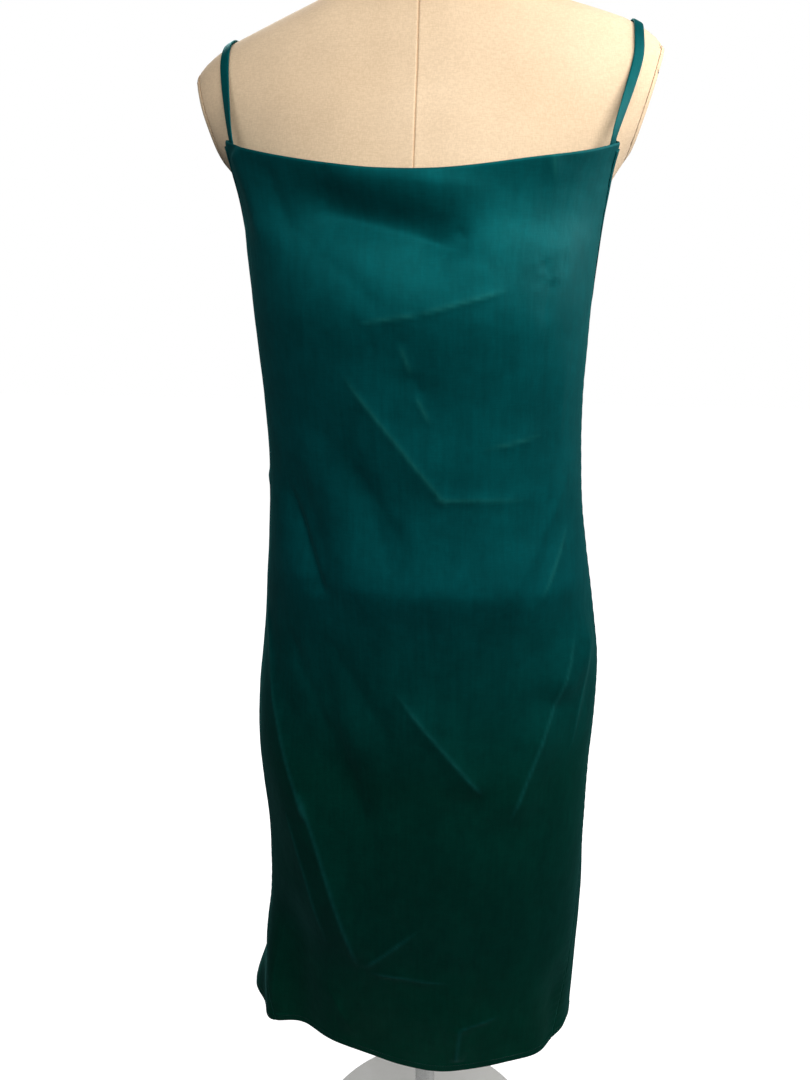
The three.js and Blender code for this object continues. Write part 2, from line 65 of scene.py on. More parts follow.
HEM_TURN = 0.011  # depth of the turned and stitched hem
HEM_PROUD = 0.0003  # how far the turned hem stands out
HEM_STEP = 0.0016  # height over which it does so
EDGE_REACH = 0.2  # how far from the neckline and the hem the rows bend to follow them
STITCH_DOWN = 0.0012  # of the hem's stitches under its turned edge
STITCH_UP = 0.00005  # over the hem's outer face
STITCH_PITCH = 0.0031
STITCH_LENGTH = 0.0023
STITCH_RADIUS = 0.00017
STITCH_SIDES = 6
CREASE_HIGHLIGHT_WIDTH = 0.0018  # of the painted highlight line along the top of a sharp crease
SHARP = 1.25  # a crease with a round under this gets one
STRAP_WIDTH = 0.009
STRAP_THICK = 0.0016
SEAM_GAP = 0.0003
STRAP_CLEAR = 0.0005
TUCK_CLEAR = 0.0008
CAD_CLOTH = 0.0012  # the wall of the solids, behind which the straps' ends lie
STRAP_TURNS = range(57, 168, 11)  # places of a strap on the shoulder, in degrees from straight forward

# How finely the cloth is divided.
ROWS_ABOVE = {"front": 44, "back": 24}  # from the underarm up
ROWS_BELOW = 290
PANEL_COLUMNS = 208
ROLL_ROWS = (0, 0.12, 0.28, 0.5, 0.75)  # down the rolled edge, as shares of its height
HEM_ROWS = (1.2, 1.12, 1.06, 1.0, 0.94, 0.88, 0.7, 0.5, 0.3, 0.1, 0.03, 0)  # as shares of the turn
ABOVE_HEM_ROWS = 1.4  # where the rows between the underarm and the hem end, as such a share
STRAP_STEPS = 150
BINDING_STEPS = 120
BINDING_PITCH = 0.008  # height between the places that lead a binding
HEM_PLACES = 500  # that lead a row of stitches
HEM_END = 0.004  # share of the hem without stitches at each end of a panel

# Driving sizes of the dress form and its stand.
SHOULDER_TILT = 0.036
TILT_IN = {"z": 1.2, "over": 0.18}
TILT_OUT = {"z": 1.48, "over": 0.06}
TORSO_PITCH = 0.005
TORSO_BOTTOM_Z = 0.800
TORSO_TOP_Z = 1.520
ARM_CUT_X = 0.199
ARM_CUT_Z = 1.401
ARM_CUT_SLOPE = 0.28
ARM_END_LOW_Z = 1.266  # below the lowest point of the arm cut
ARM_PLATE_THICK = 0.003
ARM_CUT_ROUND = 0.0012
PLATE_INNER_ROUND = 0.0004
PLATE_OUTER_ROUND = 0.0011
SHOULDER_X = 0.10  # beyond it the torso's points belong to a shoulder
SHOULDER_Y = 0.008  # of the shoulder's middle, which a strap runs round
SHOULDER_Z = 1.330
SHOULDER_NEAR = 0.02  # a distance from that middle that is inside the shoulder
SHOULDER_FAR = 0.15  # one that is outside it
POLE_RADIUS = 0.013
BASE_RADIUS = 0.175
BASE_THICK = 0.006
HUB_TOP_Z = 0.060
COLLAR_RADIUS = 0.035
COLLAR_THICK = 0.006
AXIS_RADIUS = 0.0005  # of the tiny flat at the middle of a turned body's ends
COVER_SEAM_RISE = 0.0005  # of the pressed edges beside the cover's middle seam
COVER_SEAM_EDGES = 0.006
COVER_SEAM_DIP = 0.0016  # how far the cover sinks into that seam
COVER_SEAM_WIDTH = 0.0006
COVER_SEAM_TURNS = (0.1, 0.2, 0.32, 0.5, 0.8, 1.4)  # degrees from the seam to the points beside it
COVER_FIRST_TURN = 2.4  # to the first of the evenly spaced ones
COVER_TURN = 2.25
ROUND_STEPS = 96  # of a turned body and the cap

# The floor, the lamps and the camera. A lamp is a disc: its place, what it is aimed at, its width, its
# power and its colour.
FLOOR_HALF = 6.0
FLOOR_STEPS = 24
WORLD_FILL = 0.045
WORLD_COLOUR = (0.93, 0.97, 1, 1)
LAMPS = {
    "key": ((0.30, -0.70, 1.92), (0.02, 0, 1.20), 0.8, 5.3, (1.0, 0.985, 0.96)),
    "side": ((0.80, -0.34, 1.70), (0.12, 0, 1.25), 0.5, 5.6, (1.0, 0.99, 0.98)),
    "rim": ((0.90, 0.12, 1.45), (0.12, 0, 1.20), 0.4, 3.0, (1.0, 0.99, 0.98)),
    "front": ((0.50, -1.10, 1.40), (0.06, 0, 1.10), 0.7, 3.4, (1.0, 0.99, 0.98)),
    "fill": ((-0.42, -0.88, 1.85), (-0.10, 0, 1.2), 0.6, 2.8, (0.94, 0.98, 1.0)),
    "back": ((-0.60, 1.20, 2.20), (0, 0, 1.10), 0.9, 20.0, (1.0, 0.985, 0.97)),
    "low": ((0.70, -1.1, 0.35), (0, 0, 0.5), 0.8, 0.62, (1.0, 0.93, 0.72)),
}
CAMERA_DISTANCE = 0.8
CAMERA_HEIGHT = 1.25
CAMERA_TURN = math.radians(6)
CAMERA_TILT = math.radians(70)  # up from straight down
CAMERA_LENS = 27.03  # millimetres, as the sensor's width is
CAMERA_SENSOR = 36
CAMERA_SHIFT = -0.0185  # share of the picture's larger side
CAMERA_CLIP = 0.05


def table(columns, rows):
    """Rows of numbers under named columns, as one array for each column."""
    return dict(zip(columns.split(), np.array(rows, float).T))


DRESS = table("z left right front back full", [
    [0.25, 0.214, 0.181, 0.086, 0.102, 0.05],
    [0.305, 0.211, 0.182, 0.087, 0.102, 0.05],
    [0.415, 0.205, 0.184, 0.091, 0.104, 0.04],
    [0.5, 0.193, 0.185, 0.095, 0.106, 0.035],
    [0.6, 0.188, 0.186, 0.099, 0.109, 0.03],
    [0.71, 0.192, 0.186, 0.101, 0.114, 0.03],
    [0.78, 0.187, 0.188, 0.102, 0.12, 0.035],
    [0.84, 0.178, 0.186, 0.104, 0.123, 0.04],
    [0.9, 0.17, 0.177, 0.109, 0.118, 0.04],
    [0.935, 0.166, 0.171, 0.1135, 0.111, 0.045],
    [0.965, 0.1625, 0.166, 0.1135, 0.104, 0.045],
    [1.01, 0.1585, 0.159, 0.111, 0.095, 0.045],
    [1.06, 0.156, 0.155, 0.1105, 0.088, 0.045],
    [1.11, 0.157, 0.153, 0.114, 0.088, 0.045],
    [1.16, 0.1585, 0.154, 0.123, 0.093, 0.05],
    [1.2, 0.16, 0.155, 0.129, 0.098, 0.05],
    [1.245, 0.163, 0.158, 0.122, 0.102, 0.05],
    [1.27, 0.165, 0.161, 0.115, 0.101, 0.045],
    [1.29, 0.168, 0.165, 0.114, 0.099, 0.045],
    [1.31, 0.173, 0.17, 0.118, 0.097, 0.045],
    [1.33, 0.179, 0.178, 0.124, 0.095, 0.045],
])
FRONT_EDGE = table("z left right", [
    [0.25, 56, 62], [0.305, 58, 64], [0.42, 72, 74], [0.56, 86, 84],
    [0.7, 90, 88], [1.205, 90, 90], [1.222, 88, 88], [1.25, 82.5, 82.5],
    [1.29, 72, 74], [1.328, 63, 66],
])
BACK_EDGE = table("z turn", [
    [1.205, 90], [1.212, 98], [1.228, 110], [1.25, 123], [1.272, 134],
])
NECKLINE = table("across z", [
    [-0.175, 1.337], [-0.115, 1.322], [-0.06, 1.311], [-0.02, 1.306],
    [0.025, 1.306], [0.085, 1.314], [0.125, 1.32], [0.175, 1.33],
])
HEM = table("across z", [
    [-0.46, 0.312], [-0.3, 0.306], [-0.215, 0.312], [-0.16, 0.312],
    [-0.108, 0.317], [-0.065, 0.32], [-0.015, 0.308], [0.025, 0.305],
    [0.07, 0.309], [0.105, 0.311], [0.15, 0.306], [0.215, 0.312], [0.3, 0.308],
    [0.46, 0.312],
])

# Folds of the cloth. height is above the cloth, or below it where negative. before and after are the
# widths on the fold's two sides, seen along it from its first point. round is 2 for a soft fold and
# near 1 for a sharp crease. start and end are the shares of its length over which it rises and fades.
FOLD_COLUMNS = "across0 z0 across1 z1 height before after round start end"
SOFT = (2, 0.3, 0.3)  # the round, start and end of every broad fold


def soft_folds(rows):
    """A table of the broad folds, without the values that they share."""
    return table(FOLD_COLUMNS, [[*row, *SOFT] for row in rows])


FRONT_FOLDS = soft_folds([
    [-0.101, 1.296, 0.054, 1.234, -0.009, 0.02, 0.03],
    [-0.056, 1.16, 0.026, 1.029, 0.004, 0.026, 0.034],
    [-0.105, 1.075, -0.062, 0.9, -0.006, 0.018, 0.03],
    [-0.13, 0.95, 0.19, 0.914, 0.0026, 0.034, 0.032],
    [-0.165, 0.88, -0.045, 0.42, 0.009, 0.026, 0.04],
    [-0.13, 0.56, -0.108, 0.18, -0.014, 0.03, 0.034],
    [-0.16, 0.48, -0.163, 0.06, 0.009, 0.022, 0.024],
    [-0.015, 0.835, 0.066, 0.7, 0.004, 0.022, 0.032],
    [0.185, 0.9, 0.112, 0.815, 0.006, 0.024, 0.03],
    [0.116, 0.82, 0.08, 0.66, 0.005, 0.022, 0.03],
    [0.15, 0.47, 0.172, 0.18, -0.007, 0.03, 0.026],
    [0.03, 0.47, 0.01, 0.18, 0.005, 0.044, 0.044],
])
BACK_FOLDS = soft_folds([
    [-0.12, 1.12, -0.06, 0.94, 0.005, 0.026, 0.036],
    [0.105, 1.09, 0.07, 0.93, -0.005, 0.024, 0.03],
    [-0.095, 0.86, -0.13, 0.18, 0.009, 0.04, 0.046],
    [-0.02, 0.8, -0.03, 0.18, -0.008, 0.042, 0.038],
    [0.08, 0.84, 0.1, 0.18, 0.009, 0.044, 0.04],
    [0.215, 0.41, 0.205, 0.06, 0.024, 0.044, 0.06],
    [-0.2, 0.64, -0.215, 0.18, 0.008, 0.034, 0.034],
])

# The creases over them: sharper ones, and hollows that deepen the broad folds.
FRONT_CREASES = table(FOLD_COLUMNS, [
    [-0.141, 1.326, -0.113, 1.24, 0.0048, 0.018, 0.014, 1.6, 0.1, 0.35],
    [-0.072, 1.302, 0.07, 1.288, 0.0058, 0.013, 0.022, 2, 0.3, 0.4],
    [-0.076, 1.28, 0.062, 1.24, -0.0034, 0.022, 0.01, 1.8, 0.25, 0.3],
    [-0.106, 1.318, -0.082, 1.235, -0.0018, 0.009, 0.01, 1.5, 0.2, 0.5],
    [0.000, 1.256, 0.046, 1.24, -0.0016, 0.012, 0.004, 1.2, 0.3, 0.3],
    [-0.095, 1.272, -0.013, 1.195, -0.0018, 0.012, 0.022, 1.5, 0.3, 0.2],
    [0.093, 1.335, 0.101, 1.29, 0.0014, 0.004, 0.008, 1.2, 0.05, 0.5],
    [0.03, 1.264, 0.043, 1.25, -0.0013, 0.005, 0.008, 1.2, 0.3, 0.4],
    [0.096, 1.24, 0.106, 1.222, -0.0011, 0.006, 0.009, 1.2, 0.3, 0.3],
    [0.106, 1.227, 0.099, 1.18, -0.0015, 0.006, 0.011, 1.2, 0.2, 0.5],
    [-0.04, 1.189, 0.01, 1.198, 0.0013, 0.005, 0.004, 1.1, 0.35, 0.2],
    [0.002, 1.196, 0.076, 1.218, 0.0015, 0.006, 0.004, 1.1, 0.2, 0.3],
    [-0.007, 1.176, 0.002, 1.144, 0.0013, 0.004, 0.007, 1.1, 0.3, 0.4],
    [0.001, 1.15, 0.009, 1.128, -0.0011, 0.004, 0.007, 1.1, 0.3, 0.4],
    [0.003, 1.133, 0.015, 1.102, 0.0012, 0.004, 0.008, 1.1, 0.3, 0.4],
    [-0.054, 1.157, 0.029, 1.026, 0.0018, 0.004, 0.008, 1.05, 0.25, 0.12],
    [0.012, 1.037, 0.104, 1.034, 0.0016, 0.008, 0.004, 1.1, 0.15, 0.5],
    [-0.09, 1.13, -0.02, 1.02, -0.0018, 0.016, 0.02, 1.8, 0.4, 0.4],
    [0.045, 1.081, 0.108, 1.094, 0.0011, 0.01, 0.005, 1.2, 0.4, 0.4],
    [-0.054, 1.092, -0.01, 0.95, -0.003, 0.012, 0.02, 1.6, 0.4, 0.4],
    [-0.116, 1.048, -0.074, 0.932, -0.0048, 0.005, 0.012, 1.5, 0.4, 0.12],
    [-0.047, 1.072, -0.003, 0.984, -0.0014, 0.007, 0.012, 1.5, 0.3, 0.3],
    [-0.122, 0.896, -0.062, 0.75, -0.0026, 0.009, 0.012, 1.6, 0.25, 0.3],
    [-0.083, 0.905, -0.016, 0.768, -0.0018, 0.01, 0.014, 1.6, 0.3, 0.3],
    [0.118, 1.02, 0.092, 0.925, -0.0018, 0.01, 0.008, 1.5, 0.4, 0.3],
    [0.152, 1.085, 0.06, 0.915, 0.0022, 0.008, 0.018, 1.3, 0.4, 0.4],
    [0.14, 1.012, 0.095, 0.925, 0.0018, 0.006, 0.012, 1.2, 0.4, 0.4],
    [0.118, 1.05, 0.086, 0.96, -0.0014, 0.008, 0.01, 1.4, 0.4, 0.4],
    [0.128, 1.19, 0.118, 1.06, 0.0013, 0.008, 0.012, 1.4, 0.4, 0.4],
    [-0.177, 1.036, -0.15, 1.029, 0.0014, 0.005, 0.009, 1.2, 0.1, 0.5],
    [-0.15, 0.953, 0.185, 0.94, 0.003, 0.032, 0.016, 1.7, 0.25, 0.25],
    [-0.13, 0.868, -0.015, 0.725, 0.0034, 0.022, 0.024, 1.9, 0.3, 0.3],
    [-0.088, 0.885, -0.028, 0.59, -0.0036, 0.009, 0.02, 1.7, 0.25, 0.3],
    [-0.105, 0.795, -0.02, 0.64, -0.0034, 0.026, 0.022, 1.9, 0.3, 0.3],
    [-0.024, 0.85, 0.059, 0.714, 0.0025, 0.005, 0.012, 1.1, 0.35, 0.1],
    [-0.169, 0.905, -0.13, 0.78, 0.0024, 0.005, 0.008, 1.1, 0.2, 0.15],
    [-0.134, 0.8, -0.095, 0.655, 0.0026, 0.006, 0.008, 1.1, 0.15, 0.15],
    [-0.103, 0.701, -0.05, 0.452, 0.0028, 0.006, 0.008, 1.1, 0.1, 0.15],
    [-0.128, 0.69, -0.078, 0.47, 0.0015, 0.005, 0.008, 1.1, 0.3, 0.3],
    [0.146, 0.905, 0.104, 0.765, 0.0019, 0.005, 0.008, 1.15, 0.3, 0.15],
    [0.11, 0.785, 0.078, 0.665, 0.0016, 0.006, 0.008, 1.15, 0.15, 0.4],
    [0.17, 0.905, 0.146, 0.735, 0.0017, 0.006, 0.009, 1.2, 0.3, 0.4],
    [-0.048, 0.458, 0.011, 0.54, 0.0016, 0.006, 0.009, 1.15, 0.15, 0.5],
    [-0.048, 0.455, 0.046, 0.446, 0.0014, 0.009, 0.005, 1.2, 0.2, 0.5],
    [0.038, 0.318, 0.042, 0.381, 0.002, 0.005, 0.009, 1.15, 0.15, 0.12],
    [0.041, 0.377, 0.087, 0.395, 0.0017, 0.008, 0.005, 1.15, 0.1, 0.5],
    [-0.086, 0.42, -0.052, 0.335, 0.0018, 0.007, 0.011, 1.3, 0.3, 0.4],
])
BACK_CREASES = table(FOLD_COLUMNS, [
    [-0.105, 1.18, -0.03, 1.06, 0.0018, 0.012, 0.026, 1.2, 0.3, 0.2],
    [-0.03, 1.062, 0.06, 1.048, -0.0013, 0.01, 0.018, 1.2, 0.2, 0.5],
    [0.12, 1.15, 0.07, 1.04, 0.0016, 0.012, 0.02, 1.3, 0.3, 0.4],
    [-0.05, 1.215, 0.04, 1.2, -0.0012, 0.012, 0.016, 1.4, 0.4, 0.4],
    [0.02, 0.78, 0.075, 0.64, 0.0016, 0.012, 0.022, 1.2, 0.3, 0.3],
    [-0.12, 0.8, -0.07, 0.62, 0.0018, 0.014, 0.022, 1.3, 0.3, 0.4],
    [0.15, 0.72, 0.125, 0.5, 0.0018, 0.016, 0.02, 1.4, 0.3, 0.4],
    [-0.035, 0.47, 0.015, 0.38, 0.0014, 0.01, 0.014, 1.2, 0.3, 0.4],
    [0.06, 0.3, 0.052, 0.4, 0.0014, 0.009, 0.014, 1.2, 0.1, 0.4],
])

TORSO = table("z half front back full", [
    [0.8, 0.158, 0.084, 0.1, 0.03],
    [0.85, 0.171, 0.094, 0.112, 0.04],
    [0.9, 0.162, 0.103, 0.106, 0.04],
    [0.935, 0.152, 0.107, 0.097, 0.04],
    [0.98, 0.136, 0.099, 0.082, 0.04],
    [1.04, 0.12, 0.084, 0.069, 0.04],
    [1.09, 0.125, 0.09, 0.071, 0.04],
    [1.14, 0.136, 0.105, 0.08, 0.04],
    [1.18, 0.144, 0.117, 0.088, 0.05],
    [1.205, 0.147, 0.12, 0.092, 0.05],
    [1.24, 0.15, 0.11, 0.094, 0.04],
    [1.265, 0.153, 0.101, 0.094, 0.03],
    [1.29, 0.161, 0.095, 0.092, 0.02],
    [1.315, 0.176, 0.088, 0.089, 0.01],
    [1.34, 0.196, 0.079, 0.085, 0.0],
    [1.365, 0.21, 0.069, 0.08, 0.0],
    [1.385, 0.209, 0.061, 0.075, 0.0],
    [1.4, 0.199, 0.056, 0.071, 0.0],
    [1.41, 0.187, 0.053, 0.068, 0.0],
    [1.42, 0.168, 0.05, 0.065, 0.0],
    [1.428, 0.145, 0.048, 0.063, 0.0],
    [1.437, 0.118, 0.046, 0.061, 0.0],
    [1.447, 0.089, 0.045, 0.058, 0.0],
    [1.457, 0.07, 0.045, 0.056, 0.0],
    [1.47, 0.061, 0.046, 0.053, 0.0],
    [1.49, 0.058, 0.048, 0.049, 0.0],
    [1.52, 0.056, 0.051, 0.045, 0.0],
])
# Slight unevenness of the cloth and the cover. Each row is two sine waves that are multiplied.
WAVE_COLUMNS = "height across0 z0 start0 across1 z1 start1"
CLOTH_WAVES = table(WAVE_COLUMNS, [
    [0.00016, 61, 23, 1.3, -31, 47, 0],
    [0.0001, 143, -37, 0.4, 0, 89, 2.1],
    [0.00006, 271, 119, 0, -163, 211, 0.9],
])
COVER_WAVES = table(WAVE_COLUMNS, [
    [0.0005, 38, 61, 0, -17, 53, 0],
    [0.0003, 127, -59, 1.1, 0, 71, 0],
])
STRAP_ROUTE = table("turn left right", [
    [0, 0.158, 0.167], [25, 0.164, 0.172], [55, 0.167, 0.176], [90, 0.167, 0.175],
    [120, 0.16, 0.164], [150, 0.147, 0.149], [180, 0.134, 0.134],
])
STRAP_FRONT_END = table("left right z", [
    [60, 63, 1.312], [60, 63, 1.324], [60, 63, 1.336],
])
STRAP_BACK_END = table("left right z", [
    [131, 131, 1.275], [131, 131, 1.265], [131, 131, 1.255],
])
# Round profiles of (radius, height) points. The cap's radii are shares of the neck's rim.
CAP_PROFILE = (
    (0.02, 0), (1.03, 0), (1.05, 0.004), (1.02, 0.009), (0.9, 0.0125), (0.5, 0.013), (0.02, 0.013),
)
POLE_PROFILE = (
    (AXIS_RADIUS, HUB_TOP_Z + SEAM_GAP),
    (POLE_RADIUS, HUB_TOP_Z + SEAM_GAP),
    (POLE_RADIUS, TORSO_BOTTOM_Z - 0.022),
    (COLLAR_RADIUS, TORSO_BOTTOM_Z - COLLAR_THICK),
    (COLLAR_RADIUS, TORSO_BOTTOM_Z - SEAM_GAP),
    (AXIS_RADIUS, TORSO_BOTTOM_Z - SEAM_GAP),
)
BASE_PROFILE = (
    (AXIS_RADIUS, 0),
    (BASE_RADIUS, 0),
    (BASE_RADIUS, BASE_THICK),
    (0.035, BASE_THICK + 0.002),
    (0.022, BASE_THICK + 0.012),
    (0.019, HUB_TOP_Z - 0.004),
    (0.017, HUB_TOP_Z),
    (AXIS_RADIUS, HUB_TOP_Z),
)
# How thick a stitch is along its length.
STITCH_SHAPE = table("share size", [
    [0, 0.35], [0.2, 1.0], [0.5, 1.15], [0.8, 1.0], [1, 0.35],
])
# The section of a binding folded round the cloth's edge: distances in from the edge, and out from the
# cloth's outer face.
BINDING_SECTION = table("inwards out", [
    [0.0052, 0.0001], [0.0054, 0.00032], [0.0051, 0.00056], [0.0025, 0.00064],
    [0.0001, 0.00058], [-0.0006, 0.0003], [-0.0009, -0.0003], [-0.0006, -0.0009],
    [0.0001, -0.00118], [0.0049, -0.0012], [0.0051, -0.00098], [0.0049, -0.00074],
    [0.0001, -0.00072], [-0.0003, -0.0003], [0.0001, 0.00008],
])


def smooth(value):
    t = np.clip(value, 0, 1)
    return t * t * (3 - 2 * t)


def at(columns, name, value, key="z"):
    """The smooth value of a column where the key column has the given value."""
    keys = columns[key]
    heights = columns[name]
    slopes = np.empty(len(keys))
    slopes[1:-1] = (heights[2:] - heights[:-2]) / (keys[2:] - keys[:-2])
    slopes[0] = (heights[1] - heights[0]) / (keys[1] - keys[0])
    slopes[-1] = (heights[-1] - heights[-2]) / (keys[-1] - keys[-2])
    v = np.clip(value, keys[0], keys[-1])
    low = np.clip(np.searchsorted(keys, v, side="right") - 1, 0, len(keys) - 2)
    span = keys[low + 1] - keys[low]
    t = (v - keys[low]) / span
    return (
        heights[low] * (1 + 2 * t) * (1 - t) ** 2
        + span * slopes[low] * t * (1 - t) ** 2
        + heights[low + 1] * t * t * (3 - 2 * t)
        - span * slopes[low + 1] * t * t * (1 - t)
    )


def unit(vectors):
    return vectors / np.linalg.norm(vectors, axis=-1, keepdims=True)


def section_point(left, right, front, back, full, turn, z):
    """A point of an oval section, turn degrees round from the centre front towards +X."""
    across = np.sin(np.radians(turn))
    ahead = np.cos(np.radians(turn))
    bulge = 1 + full * np.sin(np.radians(2 * turn)) ** 2
    x = np.where(across < 0, left, right) * across * bulge
    y = -np.where(ahead > 0, front, back) * ahead * bulge
    return np.stack(np.broadcast_arrays(x, y, z), -1)


def half_girth(z):
    wide = (at(DRESS, "left", z) + at(DRESS, "right", z)) / 2
    deep = (at(DRESS, "front", z) + at(DRESS, "back", z)) / 2
    h = ((wide - deep) / (wide + deep)) ** 2
    return math.pi / 2 * (wide + deep) * (1 + h / 4 + h**2 / 64)


def fold_height(folds, across, z):
    """The height of a table's folds over the cloth at a place."""
    total = np.zeros(np.broadcast(across, z).shape)
    for a0, z0, a1, z1, height, before, after, power, start, end in zip(*folds.values()):
        along_a = a1 - a0
        along_z = z1 - z0
        length = math.hypot(along_a, along_z)
        to_a = across - a0
        to_z = z - z0
        along = (to_a * along_a + to_z * along_z) / length**2
        off = (to_a * along_z - to_z * along_a) / length
        width = np.where(off < 0, before, after)
        fade = smooth(along / start) * smooth((1 - along) / end)
        total += height * fade * np.exp(-((np.abs(off) / width) ** power))
    return total


def waves(rows, across, z):
    """The height of a table's waves at a place."""
    total = 0
    for height, across0, z0, start0, across1, z1, start1 in zip(*rows.values()):
        first = np.sin(across0 * across + z0 * z + start0)
        total = total + height * first * np.sin(across1 * across + z1 * z + start1)
    return total


def dress_point(turn, z, front_folds=FRONT_FOLDS, back_folds=BACK_FOLDS):
    """The outer face of the dress, turn degrees round from the centre front at height z."""
    sizes = [at(DRESS, name, z) for name in ("left", "right", "front", "back", "full")]
    half = half_girth(z)
    from_front = half * turn / 180
    from_back = from_front - np.where(turn < 0, -1, 1) * half
    height = fold_height(front_folds, from_front, z) + fold_height(back_folds, from_back, z)
    point = section_point(*sizes, turn, z)
    outward = point / np.stack([sizes[0] ** 2, sizes[2] ** 2, np.full_like(sizes[0], np.inf)], -1)
    return point + unit(outward) * height[..., None]


def dress_normal(turn, z):
    around = dress_point(turn + 0.5, z) - dress_point(turn - 0.5, z)
    up = dress_point(turn, z + 0.002) - dress_point(turn, z - 0.002)
    return unit(np.cross(around, up))


# Meshes.


def placed(name, data):
    """A new object in the scene from its mesh, lamp or camera."""
    obj = bpy.data.objects.new(name, data)
    bpy.context.scene.collection.objects.link(obj)
    return obj


def new_object(name, points, faces, uvs=None, rim_faces=0):
    """A smooth mesh object. The last rim_faces of its faces stay flat, as the cut edge of a sheet."""
    mesh = bpy.data.meshes.new(name)
    mesh.from_pydata(np.asarray(points).tolist(), [], faces)
    mesh.update()
    smooth_faces = np.ones(len(mesh.polygons), bool)
    if rim_faces:
        smooth_faces[-rim_faces:] = False
    mesh.polygons.foreach_set("use_smooth", smooth_faces)
    if uvs is not None:
        layer = mesh.uv_layers.new(name="cloth")
        corners = np.empty(len(mesh.loops), np.int32)
        mesh.loops.foreach_get("vertex_index", corners)
        layer.data.foreach_set("uv", np.asarray(uvs, np.float32)[corners].ravel())
    return placed(name, mesh)


def grid_faces(rows, columns, start=0):
    """Quads of a grid of points whose rows run down and columns towards +X, seen from outside."""
    r, c = np.mgrid[0 : rows - 1, 0 : columns - 1]
    a = start + (r * columns + c).ravel()
    return np.stack([a, a + columns, a + columns + 1, a + 1], -1)


def border(index):
    """The indices round a grid's edge."""
    return np.concatenate([index[0, :-1], index[:-1, -1], index[-1, :0:-1], index[:0:-1, 0]])


def shell(name, outer, places, thickness):
    """A closed sheet from a grid of outer points, an odd number each way. Its inner face lies a
    thickness behind them and has every second point. places are the points' distances across and
    heights, kept as the cloth's own coordinates."""
    rows, columns = outer.shape[:2]
    across = np.gradient(outer, axis=1)
    down = np.gradient(outer, axis=0)
    inner = (outer - unit(np.cross(down, across)) * thickness)[::2, ::2]
    count = rows * columns
    front = grid_faces(rows, columns).tolist()
    back = grid_faces(*inner.shape[:2], count)[:, ::-1].tolist()
    fine = border(np.arange(count).reshape(rows, columns))
    coarse = border(count + np.arange(inner[..., 0].size).reshape(inner.shape[:2]))
    between = [fine[::2], fine[1::2], np.roll(fine[::2], -1), np.roll(coarse, -1), coarse]
    rim = np.stack(between, -1).tolist()
    points = np.concatenate([outer.reshape(-1, 3), inner.reshape(-1, 3)])
    uvs = np.concatenate([places.reshape(-1, 2), places[::2, ::2].reshape(-1, 2)])
    return new_object(name, points, front + back + rim, uvs, len(rim))


def tube_faces(count, around, start=0):
    """The faces of a closed body through count rings of points: its sides and its two ends."""
    r, k = np.mgrid[0 : count - 1, 0:around]
    a = start + (r * around + k).ravel()
    b = start + (r * around + (k + 1) % around).ravel()
    last = start + (count - 1) * around
    ends = [list(range(start, start + around))[::-1], list(range(last, last + around))]
    return np.stack([a, b, b + around, a + around], -1).tolist() + ends


def closed_tube(name, rings, uvs=None):
    """A closed body through rings of equally many points, each running anticlockwise seen against
    the direction from the first ring to the last."""
    rings = np.asarray(rings)
    return new_object(name, rings.reshape(-1, 3), tube_faces(*rings.shape[:2]), uvs)



# The dress's panels.

RIPPLE_START = {"front": 0.0, "back": 1.7}


def joined(first, second):
    return {name: np.concatenate([first[name], second[name]]) for name in first}


def crease_highlight_lines(creases, across, z):
    """How close a place is to the top of one of the sharp creases, from 0 to 1, which sets the painted
    highlight there.
    """
    sharp = (creases["round"] < SHARP) & (creases["height"] > 0)
    lines = {name: column[sharp] for name, column in creases.items()}
    lines["height"] = np.ones(sharp.sum())
    lines["before"] = lines["after"] = lines["height"] * CREASE_HIGHLIGHT_WIDTH
    return np.clip(fold_height(lines, across, z), 0, 1)


def panel_levels(top, rows_above):
    """The levels of a panel's rows, closer together at its rolled top edge and at its turned hem."""
    edge = top - EDGE_ROLL * np.array(ROLL_ROWS)
    above = np.linspace(top - EDGE_ROLL, UNDERARM_Z, rows_above, endpoint=False)
    below = np.linspace(UNDERARM_Z, HEM_Z + ABOVE_HEM_ROWS * HEM_TURN, ROWS_BELOW)
    hem = HEM_Z + HEM_TURN * np.array(HEM_ROWS)
    return np.concatenate([edge, above, below, hem])[:, None]


def lifted(level, across, top, top_line):
    """Moves rows so that the top one follows the neckline and the last the hem."""
    near_top = np.clip(1 - (top - level) / EDGE_REACH, 0, 1) ** 2
    near_hem = np.clip(1 - (level - HEM_Z) / EDGE_REACH, 0, 1) ** 2
    hem = at(HEM, "z", across, "across")
    return level + (top_line - top) * near_top + (hem - HEM_Z) * near_hem


def panel_edges(face, level):
    """The turns at which a panel starts and ends, going towards +X as seen from outside."""
    gap = SIDE_SEAM_GAP / 2 / half_girth(level) * 180
    left = at(FRONT_EDGE, "left", level)
    right = at(FRONT_EDGE, "right", level)
    if face == "front":
        return gap - left, right - gap
    armhole = at(BACK_EDGE, "turn", level)
    above = level > UNDERARM_Z
    return np.where(above, armhole, right) + gap, 360 - np.where(above, armhole, left) - gap


def panel_place(face, level, share):
    """The turn, the height and the distance round from the panel's own middle of a place in its grid.
    share goes from 0 to 1 across the panel towards +X as seen from outside."""
    front = face == "front"
    top = PANEL_TOP[face]
    start, end = panel_edges(face, level)
    turn = start + (end - start) * share
    half = half_girth(level)
    place = half * (turn / 180 - (0 if front else 1))
    turn = np.where(turn > 180, turn - 360, turn)
    across = half * turn / 180
    if front:
        top_line = at(NECKLINE, "z", across, "across")
    else:
        top_line = BACK_CORNER_Z - BACK_DIP * (1 - (2 * share - 1) ** 2)
    return turn, lifted(level, across, top, top_line), place


def creased_point(turn, z):
    """The outer face of the dress with its sharper creases."""
    return dress_point(turn, z, joined(FRONT_FOLDS, FRONT_CREASES), joined(BACK_FOLDS, BACK_CREASES))


